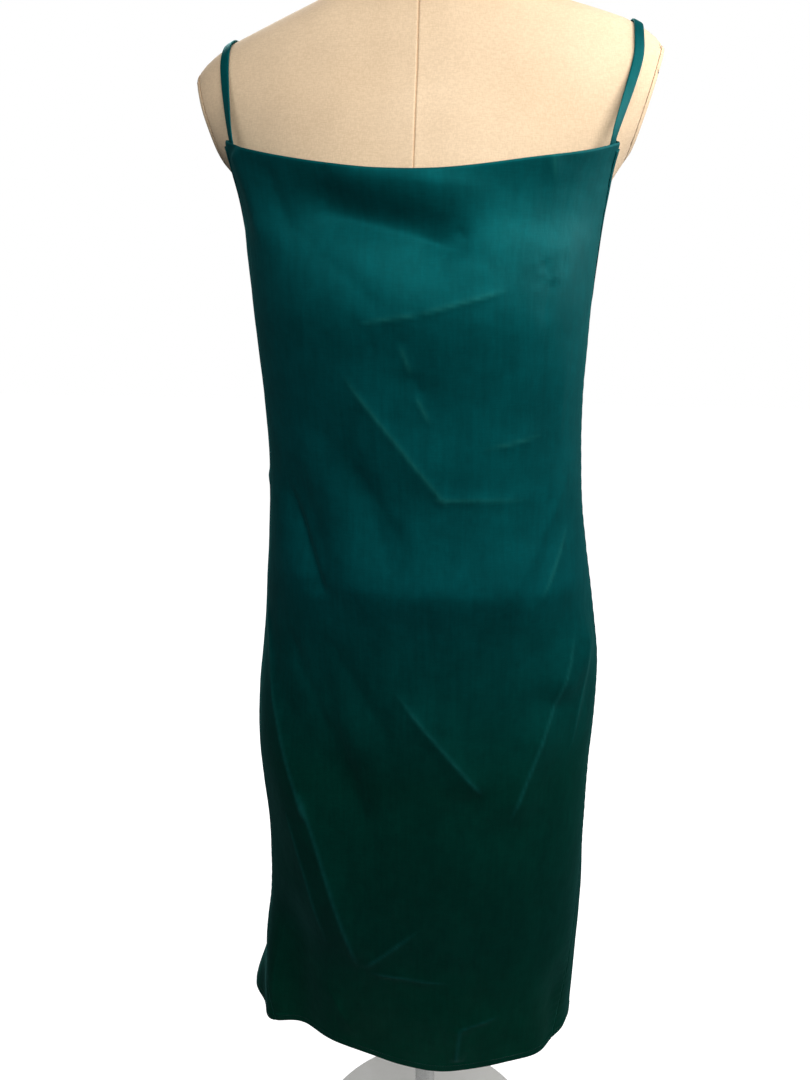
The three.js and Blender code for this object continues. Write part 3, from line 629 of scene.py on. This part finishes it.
def turned_edge(point, normal):
    """The two places through which the cloth turns in behind a side edge, the nearer one first."""
    return [point - normal * depth for depth in (SEAM_ROUND, SEAM_TURN_IN)]


def panel(face):
    level = panel_levels(PANEL_TOP[face], ROWS_ABOVE[face])
    share = np.linspace(0, 1, PANEL_COLUMNS + 1)[None, :]
    turn, z, place = panel_place(face, level, share)
    from_seam = np.minimum(share, 1 - share) * np.ptp(place, axis=1, keepdims=True)
    from_hem = z - at(HEM, "z", half_girth(level) * turn / 180, "across")
    pucker_wave = np.sin(2 * math.pi * level / PUCKER_PITCH + 1.7 * np.sin(9 * level))
    relief = (
        waves(CLOTH_WAVES, place + RIPPLE_START[face], z)
        + PUCKER * pucker_wave * np.exp(-from_seam / PUCKER_REACH)
        - SEAM_DIP * np.exp(-((from_seam / SEAM_DIP_WIDTH) ** 2))
        + HEM_PROUD * smooth((HEM_TURN + HEM_STEP / 2 - from_hem) / HEM_STEP)
        - EDGE_DEPTH * np.clip(1 - (PANEL_TOP[face] - level) / EDGE_ROLL, 0, 1) ** 2
    )
    normal = dress_normal(turn, z)
    outer = creased_point(turn, z) + normal * relief[..., None]
    left = np.stack(turned_edge(outer[:, 0], normal[:, 0])[::-1], 1)
    right = np.stack(turned_edge(outer[:, -1], normal[:, -1]), 1)
    outer = np.concatenate([left, outer, right], 1)
    places = np.stack([place, z], -1)
    places = np.concatenate([places[:, :1]] * 2 + [places] + [places[:, -1:]] * 2, 1)
    made = shell(f"satin_{face}", outer, places, CLOTH)
    # The painted highlight along the tops of the sharp creases, kept on the points for the satin's
    # colour.
    crease_highlight = crease_highlight_lines(FRONT_CREASES if face == "front" else BACK_CREASES, place, z)
    crease_highlight = np.pad(crease_highlight, ((0, 0), (2, 2)))
    shares = np.zeros(len(made.data.vertices), np.float32)
    shares[: crease_highlight.size] = crease_highlight.ravel()
    made.data.attributes.new("crease_highlight", "FLOAT", "POINT").data.foreach_set("value", shares)
    return made


dress_front = panel("front")
dress_back = panel("back")


# Straps, bindings and sewing.


def smooth_line(points, steps):
    """Points and directions along a centripetal Catmull-Rom line through the given points."""
    p = np.asarray(points, float)
    p = np.concatenate([[2 * p[0] - p[1]], p, [2 * p[-1] - p[-2]]])
    gaps = np.linalg.norm(np.diff(p, axis=0), axis=1) ** 0.5
    place = np.linspace(0, len(p) - 3, steps + 1)
    i = np.minimum(place.astype(int), len(p) - 4)
    t = (place - i)[:, None]
    d0, d1, d2 = (gaps[i + k][:, None] for k in range(3))
    p0, p1, p2, p3 = (p[i + k] for k in range(4))
    m1 = ((p1 - p0) / d0 - (p2 - p0) / (d0 + d1) + (p2 - p1) / d1) * d1
    m2 = ((p2 - p1) / d1 - (p3 - p1) / (d1 + d2) + (p3 - p2) / d2) * d1
    line = p1 + m1 * t + (3 * (p2 - p1) - 2 * m1 - m2) * t**2 + (2 * (p1 - p2) + m1 + m2) * t**3
    speed = m1 + 2 * (3 * (p2 - p1) - 2 * m1 - m2) * t + 3 * (2 * (p1 - p2) + m1 + m2) * t**2
    return line, unit(speed)


def frames_along(places, steps):
    """Points, sideways directions and outward directions along a route of (point, normal) places."""
    line, tangent = smooth_line([point for point, _ in places], steps)
    leaning, _ = smooth_line([normal for _, normal in places], steps)
    side = unit(np.cross(tangent, leaning))
    return line, side, np.cross(side, tangent)


def distances(line):
    """How far along a line each of its points is."""
    return np.concatenate([[0], np.cumsum(np.linalg.norm(np.diff(line, axis=0), axis=1))])


def strip_places(offsets, line):
    """A narrow strip's own coordinates: the offsets across it, and the distance along its line."""
    return np.stack(np.broadcast_arrays(offsets[None, :], distances(line)[:, None]), -1).reshape(-1, 2)


def fuller(wave, power):
    """A sine or cosine with flatter tops, so that an oval gets nearer to a rectangle."""
    return np.sign(wave) * np.abs(wave) ** power


def ribbon(name, frames, width, thickness, around=20):
    """A narrow strip of doubled satin with rounded edges, along the frames."""
    line, side, out = frames
    angle = np.linspace(0, 2 * math.pi, around, endpoint=False)
    wide = fuller(np.cos(angle), 0.45) * width / 2
    thick = fuller(np.sin(angle), 0.75) * thickness / 2
    rings = line[:, None] + side[:, None] * wide[:, None] + out[:, None] * thick[:, None]
    return closed_tube(name, rings, strip_places(wide, line))


def tilt(x, z):
    """How far one shoulder is raised and the other lowered."""
    above = smooth((z - TILT_IN["z"]) / TILT_IN["over"])
    return SHOULDER_TILT * x * above * smooth((TILT_OUT["z"] - z) / TILT_OUT["over"])


def in_torso(point):
    x, y, z = point
    level = z - tilt(x, z)
    if level > TORSO_TOP_Z or abs(x) > ARM_CUT_X - ARM_CUT_SLOPE * (ARM_CUT_Z - level):
        return False
    wide = x / at(TORSO, "half", level)
    deep = y / at(TORSO, "front" if y < 0 else "back", level)
    bulge = 1 + at(TORSO, "full", level) * math.sin(2 * math.atan2(wide, deep)) ** 2
    return math.hypot(wide, deep) < bulge


def shoulder_point(x, turn):
    """The torso's surface at x, turn degrees round the shoulder's middle from straight forward."""
    middle = np.array([x, SHOULDER_Y, SHOULDER_Z])
    outward = np.array([0, -math.cos(math.radians(turn)), math.sin(math.radians(turn))])
    near = SHOULDER_NEAR
    far = SHOULDER_FAR
    while far - near > 1e-5:
        half_way = (near + far) / 2
        if in_torso(middle + outward * half_way):
            near = half_way
        else:
            far = half_way
    return middle + outward * far


def shoulder_normal(x, turn):
    across = shoulder_point(x + 0.004, turn) - shoulder_point(x - 0.004, turn)
    along = shoulder_point(x, turn + 3) - shoulder_point(x, turn - 3)
    return unit(np.cross(across, along))


def one_place(turn, z, lift):
    """A place at a height over the dress's outer face, with its outward direction."""
    where = (np.array(float(turn)), np.array(float(z)))
    normal = dress_normal(*where)
    return dress_point(*where) + normal * lift, normal


def strap(side):
    sign = SIGN[side]
    lift = SEAM_GAP + STRAP_THICK / 2
    behind = -CAD_CLOTH - TUCK_CLEAR - lift

    def tucked(ends):
        return [one_place(sign * turn, z, behind) for turn, z in zip(ends[side], ends["z"])]

    over = []
    for turn in STRAP_TURNS:
        x = sign * at(STRAP_ROUTE, side, turn, "turn")
        normal = shoulder_normal(x, turn)
        over.append((shoulder_point(x, turn) + normal * (lift + STRAP_CLEAR), normal))
    places = [*tucked(STRAP_FRONT_END), *over, *tucked(STRAP_BACK_END)]
    return ribbon(f"satin_strap_{side}", frames_along(places, STRAP_STEPS), STRAP_WIDTH, STRAP_THICK)


def binding(side):
    """A binding that runs down the front of an armhole and up its back."""
    sign = SIGN[side]
    front_share = 0 if side == "left" else 1
    front_levels = np.arange(NECK_CORNER_Z - 0.005, UNDERARM_Z + 0.012, -BINDING_PITCH)
    back_levels = np.arange(UNDERARM_Z + 0.006, BACK_CORNER_Z - 0.003, BINDING_PITCH)
    route = [panel_place("front", level, front_share)[:2] for level in front_levels]
    route.append((sign * 90.0, UNDERARM_Z + 0.0005))
    route += [panel_place("back", level, 1 - front_share)[:2] for level in back_levels]
    line, across, out = frames_along([one_place(turn, z, 0) for turn, z in route], BINDING_STEPS)
    inwards = BINDING_SECTION["inwards"]
    rings = line[:, None] + across[:, None] * inwards[:, None] * sign
    rings = rings + out[:, None] * BINDING_SECTION["out"][:, None]
    if side == "left":
        rings = rings[:, ::-1]
    return closed_tube(f"satin_binding_{side}", rings, strip_places(inwards, line))


def at_distance(distance, along, values):
    """A line's point or direction at a distance along it."""
    return np.array([np.interp(distance, along, values[:, k]) for k in range(3)])


def stitches(name, line, out):
    """A row of short threads lying along a line of closely spaced points."""
    along_line = distances(line)
    points = []
    faces = []
    for start in np.arange(STITCH_PITCH / 2, along_line[-1] - STITCH_LENGTH, STITCH_PITCH):
        first = at_distance(start, along_line, line)
        last = at_distance(start + STITCH_LENGTH, along_line, line)
        along = unit(last - first)
        normal = at_distance(start, along_line, out)
        normal = unit(normal - along * (normal @ along))
        side = np.cross(along, normal)
        faces += tube_faces(len(STITCH_SHAPE["share"]), STITCH_SIDES, len(points))
        for share, size in zip(*STITCH_SHAPE.values()):
            centre = first + (last - first) * share
            for k in range(STITCH_SIDES):
                angle = 2 * math.pi * k / STITCH_SIDES
                around = side * math.cos(angle) + normal * math.sin(angle)
                points.append(centre + STITCH_RADIUS * size * around)
    return new_object(name, points, faces)


def hem_stitches(face):
    """The row of stitches that holds a panel's turned hem."""
    level = np.full(HEM_PLACES, HEM_Z + HEM_TURN - STITCH_DOWN)
    turn, z, _ = panel_place(face, level, np.linspace(HEM_END, 1 - HEM_END, HEM_PLACES))
    normal = dress_normal(turn, z)
    line = creased_point(turn, z) + normal * (HEM_PROUD + STITCH_UP)
    return stitches(f"hem_stitches_{face}", line, normal)


straps = {side: strap(side) for side in SIGN}
bindings = {side: binding(side) for side in SIGN}
hem_threads = {face: hem_stitches(face) for face in PANEL_TOP}


# The dress form and its stand.


def torso_sizes(z):
    """The torso's sizes at a height: left, right, front, back and fullness."""
    return [at(TORSO, name, z) for name in ("half", "half", "front", "back", "full")]


def torso_turns():
    """Turns round the torso, close together at the cover's middle seams."""
    plain = np.arange(COVER_FIRST_TURN, 180 - COVER_SEAM_TURNS[-1], COVER_TURN)
    seam = np.array(COVER_SEAM_TURNS)
    half = np.concatenate([seam, plain, 180 - seam[::-1]])
    return np.concatenate([[0], half, [180], 360 - half[::-1]])


def torso_shell():
    """The whole torso before its arm ends are cut off, as a bmesh."""
    rows = round((TORSO_TOP_Z - TORSO_BOTTOM_Z) / TORSO_PITCH) + 1
    levels = np.linspace(TORSO_BOTTOM_Z, TORSO_TOP_Z, rows)[:, None]
    sizes = torso_sizes(levels)
    points = section_point(*sizes, torso_turns()[None, :], levels)
    from_middle = np.abs(points[..., 0])
    seam = COVER_SEAM_RISE * np.exp(-((from_middle / COVER_SEAM_EDGES) ** 2))
    seam = seam - COVER_SEAM_DIP * np.exp(-((from_middle / COVER_SEAM_WIDTH) ** 2))
    wrinkle = waves(COVER_WAVES, points[..., 0], levels) * smooth((1.5 - levels) / 0.05)
    outward = unit(points * np.array([1, 1, 0]) / np.stack([sizes[0] ** 2, sizes[2] ** 2, sizes[0]], -1))
    points = points + outward * (seam + wrinkle)[..., None]
    bm = bmesh.new()
    verts = [bm.verts.new(p) for p in points.reshape(-1, 3)]
    for face in tube_faces(*points.shape[:2]):
        bm.faces.new([verts[i] for i in face])
    bm.normal_update()
    return bm


def cut_arm(bm, sign, out, keep_outer, rounding):
    """Cuts the shoulder off in the arm plate's plane, moved out by a distance, and closes the cut."""
    normal = unit(np.array([sign, 0, -ARM_CUT_SLOPE]))
    place = np.array([sign * ARM_CUT_X, 0, ARM_CUT_Z]) + normal * out
    near = [v for v in bm.verts if v.co.z > ARM_END_LOW_Z and v.co.x * sign > SHOULDER_X]
    edges = dict.fromkeys(e for v in near for e in v.link_edges)
    faces = dict.fromkeys(f for v in near for f in v.link_faces)
    cut = bmesh.ops.bisect_plane(
        bm,
        geom=[*near, *edges, *faces],
        plane_co=place,
        plane_no=normal,
        clear_inner=keep_outer,
        clear_outer=not keep_outer,
    )
    rim = [e for e in cut["geom_cut"] if isinstance(e, bmesh.types.BMEdge) and e.is_boundary]
    bmesh.ops.holes_fill(bm, edges=rim, sides=0)
    bmesh.ops.bevel(bm, geom=rim, offset=rounding, segments=3, profile=0.5, affect="EDGES")


def tilted_object(name, bm):
    for v in bm.verts:
        v.co.z += tilt(v.co.x, v.co.z)
    bmesh.ops.recalc_face_normals(bm, faces=bm.faces)
    mesh = bpy.data.meshes.new(name)
    bm.to_mesh(mesh)
    bm.free()
    mesh.polygons.foreach_set("use_smooth", np.ones(len(mesh.polygons), bool))
    mesh.set_sharp_from_angle(angle=math.radians(38))
    return placed(name, mesh)


def form_torso():
    bm = torso_shell()
    for sign in SIGN.values():
        cut_arm(bm, sign, 0, False, ARM_CUT_ROUND)
    return tilted_object("cover_torso", bm)


def arm_plate(side):
    sign = SIGN[side]
    bm = torso_shell()
    lower = [v for v in bm.verts if v.co.z <= ARM_END_LOW_Z or v.co.x * sign <= SHOULDER_X]
    bmesh.ops.delete(bm, geom=lower, context="VERTS")
    cut_arm(bm, sign, SEAM_GAP, True, PLATE_INNER_ROUND)
    cut_arm(bm, sign, SEAM_GAP + ARM_PLATE_THICK, False, PLATE_OUTER_ROUND)
    return tilted_object(f"cover_arm_plate_{side}", bm)


def turned(name, profile):
    """A round body from a profile of (radius, height) points, each rounded off a little."""
    turn = np.linspace(0, 2 * math.pi, ROUND_STEPS, endpoint=False)
    ring = np.stack([np.cos(turn), np.sin(turn), np.zeros(ROUND_STEPS)], -1)
    rings = [ring * radius + np.array([0, 0, height]) for radius, height in rounded(profile)]
    return closed_tube(name, rings)


def rounded(profile, share=0.45, most=0.0016):
    """A profile with each inner corner replaced by a short curve of four points."""
    p = [np.array(point) for point in profile]
    out = [p[0]]
    for before, corner, after in zip(p, p[1:], p[2:]):
        to_before = before - corner
        to_after = after - corner
        cut = min(most, share * np.linalg.norm(to_before), share * np.linalg.norm(to_after))
        start = corner + unit(to_before) * cut
        end = corner + unit(to_after) * cut
        for t in (0, 1 / 3, 2 / 3, 1):
            out.append(start * (1 - t) ** 2 + corner * 2 * t * (1 - t) + end * t**2)
    return [*out, p[-1]]


def neck_cap():
    """The cap that closes the neck: a low dome over the torso's top, with a rounded rim."""
    turn = np.linspace(0, 360, ROUND_STEPS, endpoint=False)
    rim = section_point(*torso_sizes(TORSO_TOP_Z), turn, TORSO_TOP_Z + SEAM_GAP)
    middle = rim.mean(0)
    rings = []
    for share, above in rounded(CAP_PROFILE, 0.3, 0.05):
        rings.append(middle + (rim - middle) * share + np.array([0, 0, above]))
    return closed_tube("stand_neck_cap", rings)


torso = form_torso()
arm_plates = {side: arm_plate(side) for side in SIGN}
cap = neck_cap()
pole = turned("stand_tube", POLE_PROFILE)
base = turned("stand_foot", BASE_PROFILE)


# Materials.


def feed(socket, value):
    """Links an input to a node's output, or gives it a plain value."""
    if isinstance(value, bpy.types.NodeSocket):
        socket.id_data.links.new(value, socket)
    else:
        socket.default_value = value


def paint(made, **sockets):
    """Gives a material's shader its patterns and plain values."""
    inputs = made.node_tree.nodes["Principled BSDF"].inputs
    for name, value in sockets.items():
        feed(inputs[name.replace("_", " ")], value)
    return made


def material(name, base, roughness, **sockets):
    """A new material with plain values, and the places on the object that its patterns are laid by."""
    made = bpy.data.materials.new(name)
    made.use_nodes = True
    paint(made, Base_Color=(*base, 1), Roughness=roughness, **sockets)
    return made, add(made.node_tree, "ShaderNodeTexCoord").outputs["Object"]


def add(tree, kind, **values):
    """A node with its properties and inputs set by name."""
    node = tree.nodes.new(kind)
    for key, value in values.items():
        if key.startswith("in_"):
            feed(node.inputs[key[3:].replace("_", " ")], value)
        else:
            setattr(node, key, value)
    return node


def ramp(source, low, low_colour, high, high_colour):
    """Two colours blended by a pattern, between two of its values."""
    node = add(source.id_data, "ShaderNodeValToRGB", in_Fac=source)
    stops = ((low, low_colour), (high, high_colour))
    for element, (position, colour) in zip(node.color_ramp.elements, stops):
        element.position = position
        element.color = (*colour, 1)
    return node.outputs["Color"]


def spread(source, low, high, out_low, out_high):
    """A pattern moved from one range to another."""
    ends = {"in_From_Min": low, "in_From_Max": high, "in_To_Min": out_low, "in_To_Max": out_high}
    return add(source.id_data, "ShaderNodeMapRange", in_Value=source, **ends).outputs["Result"]


def mixed(blend, share, first, second):
    """A colour with a second, plain one mixed in by a share from 0 to 1."""
    node = add(first.id_data, "ShaderNodeMix", data_type="RGBA", blend_type=blend)
    for socket, value in zip((0, 6, 7), (share, first, (*second, 1))):
        feed(node.inputs[socket], value)
    return node.outputs[2]


def darkened(pattern, low, high, share, first, tint):
    """A colour multiplied by a tint where a pattern is high, by up to a share."""
    return mixed("MULTIPLY", spread(pattern, low, high, 0.0, share), first, tint)


def combined(operation, first, second):
    """Two patterns added or multiplied."""
    node = add(first.id_data, "ShaderNodeMath", operation=operation)
    feed(node.inputs[0], first)
    feed(node.inputs[1], second)
    return node.outputs[0]


def noise(vector, scale, detail=2.0, roughness=0.5):
    """A noise pattern. scale is one number, or three for a pattern drawn out along the axes."""
    tree = vector.id_data
    if isinstance(scale, tuple):
        vector = add(tree, "ShaderNodeMapping", in_Vector=vector, in_Scale=scale).outputs["Vector"]
        scale = 1.0
    values = {"in_Scale": scale, "in_Detail": detail, "in_Roughness": roughness}
    return add(tree, "ShaderNodeTexNoise", in_Vector=vector, **values).outputs["Fac"]


def bump(height, distance, strength, **below):
    """A relief from a pattern, over another one if in_Normal gives one."""
    values = {"in_Height": height, "in_Distance": distance, "in_Strength": strength}
    return add(height.id_data, "ShaderNodeBump", **values, **below).outputs["Normal"]


def satin():
    """Deep teal satin: fine threads across and along, faint streaks and patches, paler lines of painted
    highlight along the sharp creases, painted shade and warm floor light that make the skirt darker and
    greener below the hips, and a lighter, greener, worn hem."""
    made, place = material(
        "satin",
        (0.0, 0.078, 0.081),
        0.48,
        Metallic=0.35,
        Specular_IOR_Level=0.35,
        Specular_Tint=(0.10, 0.95, 0.97, 1),
        Anisotropic=0.3,
        Sheen_Weight=0.12,
        Sheen_Roughness=0.35,
        Sheen_Tint=(0.20, 0.80, 0.80, 1),
    )
    tree = made.node_tree
    cloth = add(tree, "ShaderNodeUVMap", uv_map="cloth").outputs["UV"]
    height = add(tree, "ShaderNodeSeparateXYZ", in_Vector=place).outputs["Z"]
    broad = noise(place, 7.0, 3.0)
    colour = ramp(broad, 0.30, (0.0, 0.083, 0.090), 0.70, (0.0002, 0.094, 0.103))
    # Painted shade and painted warm floor light: the skirt darker and greener below the hips.
    colour = mixed("MIX", spread(height, 0.95, 0.72, 0.0, 0.9), colour, (0.0004, 0.060, 0.038))
    # Lighter and greener again towards the hem.
    colour = mixed("MIX", spread(height, 0.50, 0.33, 0.0, 0.8), colour, (0.001, 0.095, 0.052))
    wear = spread(noise(place, (11, 11, 5), 4.0, 0.6), 0.52, 0.70, 0.0, 0.35)
    worn = combined("MULTIPLY", wear, spread(height, 0.52, 0.34, 0.0, 1.0))
    colour = mixed("MIX", worn, colour, (0.020, 0.085, 0.052))
    streaks = noise(cloth, (90, 900, 1), 3.0)
    colour = darkened(streaks, 0.35, 0.65, 0.4, colour, (0.66, 0.74, 0.74))
    # Painted highlight: paler lines along the tops of the sharp creases.
    crease_highlight = add(tree, "ShaderNodeAttribute", attribute_name="crease_highlight").outputs["Fac"]
    colour = mixed("MIX", spread(crease_highlight, 0.1, 1.0, 0.0, 0.6), colour, (0.014, 0.17, 0.16))
    mottle = noise(place, (70, 70, 50), 6.0, 0.7)
    colour = darkened(mottle, 0.36, 0.64, 0.8, colour, (0.72, 0.78, 0.78))
    patches = noise(place, (26, 26, 15), 3.0)
    colour = darkened(patches, 0.34, 0.66, 0.8, colour, (0.72, 0.78, 0.78))
    drawn = noise(cloth, (330, 16, 1), 3.0)
    colour = darkened(drawn, 0.35, 0.65, 0.7, colour, (0.80, 0.85, 0.85))
    slubs = noise(cloth, (1400, 60, 1), 2.0)
    fine = spread(slubs, 0.3, 0.7, -0.03, 0.03)
    uneven = combined("ADD", spread(broad, 0.3, 0.7, 0.56, 0.62), fine)
    relief = bump(streaks, 0.00012, 0.35)
    relief = bump(slubs, 0.00008, 0.3, in_Normal=relief)
    relief = bump(noise(place, (34, 34, 22), 2.0), 0.0012, 0.3, in_Normal=relief)
    relief = bump(noise(place, (120, 120, 50), 3.0), 0.0008, 0.45, in_Normal=relief)
    return paint(made, Base_Color=colour, Roughness=uneven, Normal=relief)


def thread():
    """Twisted sewing thread."""
    sheen = {"Specular_IOR_Level": 0.5, "Sheen_Weight": 0.2}
    made, place = material("thread", (0.003, 0.045, 0.045), 0.5, **sheen)
    twist = noise(place, (2200, 2200, 2200), 1.0)
    colour = ramp(twist, 0.35, (0.002, 0.035, 0.036), 0.65, (0.006, 0.060, 0.060))
    return paint(made, Base_Color=colour, Normal=bump(twist, 0.0001, 0.4))


def canvas():
    """Cream cotton cover of the dress form: a fine plain weave with slightly uneven threads."""
    sheen = {"Specular_IOR_Level": 0.25, "Sheen_Weight": 0.12}
    made, place = material("form_cover", (0.80, 0.62, 0.42), 0.82, **sheen)
    flecks = noise(place, (900, 900, 240), 2.0)
    fine = combined("MULTIPLY", flecks, noise(place, (240, 240, 1300), 2.0))
    colour = ramp(noise(place, 9.0, 3.0), 0.3, (0.73, 0.545, 0.36), 0.7, (0.81, 0.62, 0.425))
    share = spread(fine, 0.15, 0.35, 0.5, 0.0)
    colour = mixed("MULTIPLY", share, colour, (0.80, 0.76, 0.70))
    relief = bump(fine, 0.0003, 0.5)
    relief = bump(noise(place, (26, 26, 40), 3.0), 0.002, 0.18, in_Normal=relief)
    uneven = spread(flecks, 0.3, 0.7, 0.76, 0.9)
    return paint(made, Base_Color=colour, Roughness=uneven, Normal=relief)


def enamel():
    """Off-white powder-coated metal with a fine orange-peel surface."""
    coat = {"Metallic": 0.0, "Coat_Weight": 0.15, "Coat_Roughness": 0.25}
    made, place = material("enamel", (0.82, 0.82, 0.80), 0.42, **coat)
    scuffs = noise(place, 34.0, 5.0, 0.65)
    colour = ramp(scuffs, 0.35, (0.90, 0.90, 0.88), 0.75, (0.84, 0.84, 0.81))
    uneven = spread(scuffs, 0.35, 0.75, 0.36, 0.55)
    peel = bump(noise(place, 1100.0, 2.0), 0.0003, 0.2)
    return paint(made, Base_Color=colour, Roughness=uneven, Normal=peel)


def steel():
    """Brushed steel tube, with faint marks round it."""
    made, place = material("steel", (0.55, 0.56, 0.57), 0.28, Metallic=1.0, Anisotropic=0.5)
    brushed = noise(place, (40, 40, 4200), 2.0)
    smudges = noise(place, 26.0, 4.0)
    colour = ramp(smudges, 0.3, (0.50, 0.51, 0.52), 0.7, (0.60, 0.61, 0.62))
    uneven = spread(brushed, 0.3, 0.7, 0.22, 0.38)
    return paint(made, Base_Color=colour, Roughness=uneven, Normal=bump(brushed, 0.00005, 0.3))


def finish_piece(piece, finish, slot, *nodes):
    """Gives a piece its material and its body, and hides the CAD nodes it stands for. slot is not used.
    """
    piece.data.materials.clear()
    piece.data.materials.append(finish)
    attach(piece, "root")
    if nodes:
        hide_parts(*nodes)


satin_finish = satin()
thread_finish = thread()
cover_finish = canvas()
enamel_finish = enamel()
steel_finish = steel()
finish_piece(dress_front, satin_finish, "satin", "dress_front")
finish_piece(dress_back, satin_finish, "satin", "dress_back")
for side in SIGN:
    finish_piece(straps[side], satin_finish, "satin", f"strap_{side}")
    finish_piece(bindings[side], satin_finish, "satin", f"armhole_binding_{side}")
    finish_piece(arm_plates[side], cover_finish, "form_cover", f"form_arm_plate_{side}")
for threads in hem_threads.values():
    finish_piece(threads, thread_finish, "satin")
finish_piece(torso, cover_finish, "form_cover", "form_torso")
finish_piece(cap, enamel_finish, "enamel", "form_neck_cap")
finish_piece(pole, steel_finish, "steel", "stand_pole")
finish_piece(base, enamel_finish, "enamel", "stand_base")


# The floor, the light and the camera.


def floor():
    """A pale paper floor that the object stands on. It glows, less within 0.4 m of the middle and more
    beyond 1.2 m, so that it fades into the white surround.
    """
    grid = np.linspace(-FLOOR_HALF, FLOOR_HALF, FLOOR_STEPS + 1)
    points = [(x, y, 0.0) for y in grid for x in grid]
    obj = new_object("paper_floor", points, grid_faces(len(grid), len(grid))[:, ::-1].tolist())
    plain = {"Specular_IOR_Level": 0.0, "Emission_Color": (1, 1, 1, 1)}
    made, place = material("paper", (0.95, 0.95, 0.95), 0.9, **plain)
    fibres = noise(place, 300.0, 3.0)
    colour = ramp(fibres, 0.3, (0.93, 0.93, 0.93), 0.7, (0.97, 0.97, 0.97))
    # The floor's glow: from 0.78 near the middle to 0.97 far off.
    away = add(made.node_tree, "ShaderNodeVectorMath", operation="LENGTH", in_Vector=place)
    paint(made, Base_Color=colour, Emission_Strength=spread(away.outputs["Value"], 0.4, 1.2, 0.78, 0.97))
    obj.data.materials.append(made)
    obj.visible_diffuse = False
    obj.visible_glossy = False


def lamp(name, place, aim, size, power, colour):
    data = bpy.data.lights.new(name, "AREA")
    data.shape = "DISK"
    data.size = size
    data.energy = power
    data.color = colour
    made = placed(name, data)
    made.location = place
    made.rotation_euler = (Vector(aim) - Vector(place)).to_track_quat("-Z", "Y").to_euler()
    made.visible_camera = False


def world_light():
    """A white surround for the camera, which lights the object only softly."""
    world = bpy.data.worlds.new("studio")
    bpy.context.scene.world = world
    world.use_nodes = True
    tree = world.node_tree
    seen = tree.nodes["Background"]
    seen.inputs["Color"].default_value = (1, 1, 1, 1)
    seen.inputs["Strength"].default_value = 1.0
    dim = add(tree, "ShaderNodeBackground", in_Color=WORLD_COLOUR, in_Strength=WORLD_FILL)
    mix = add(tree, "ShaderNodeMixShader")
    seen_by_camera = add(tree, "ShaderNodeLightPath").outputs["Is Camera Ray"]
    for socket, source in enumerate((seen_by_camera, dim.outputs[0], seen.outputs[0])):
        tree.links.new(source, mix.inputs[socket])
    tree.links.new(mix.outputs[0], tree.nodes["World Output"].inputs["Surface"])


def photo_camera():
    """A camera that sees the object as the photo does."""
    data = bpy.data.cameras.new("photo_view")
    data.lens = CAMERA_LENS
    data.sensor_width = CAMERA_SENSOR
    data.sensor_fit = "AUTO"
    data.shift_x = CAMERA_SHIFT
    data.clip_start = CAMERA_CLIP
    made = placed("photo_view", data)
    across = CAMERA_DISTANCE * math.sin(CAMERA_TURN)
    made.location = (across, -CAMERA_DISTANCE * math.cos(CAMERA_TURN), CAMERA_HEIGHT)
    made.rotation_euler = (CAMERA_TILT, 0, CAMERA_TURN)
    return made


floor()
world_light()
for name, settings in LAMPS.items():
    lamp(name, *settings)
bpy.context.scene.camera = photo_camera()
bpy.context.scene.view_settings.view_transform = "Standard"
bpy.context.scene.view_settings.look = "None"
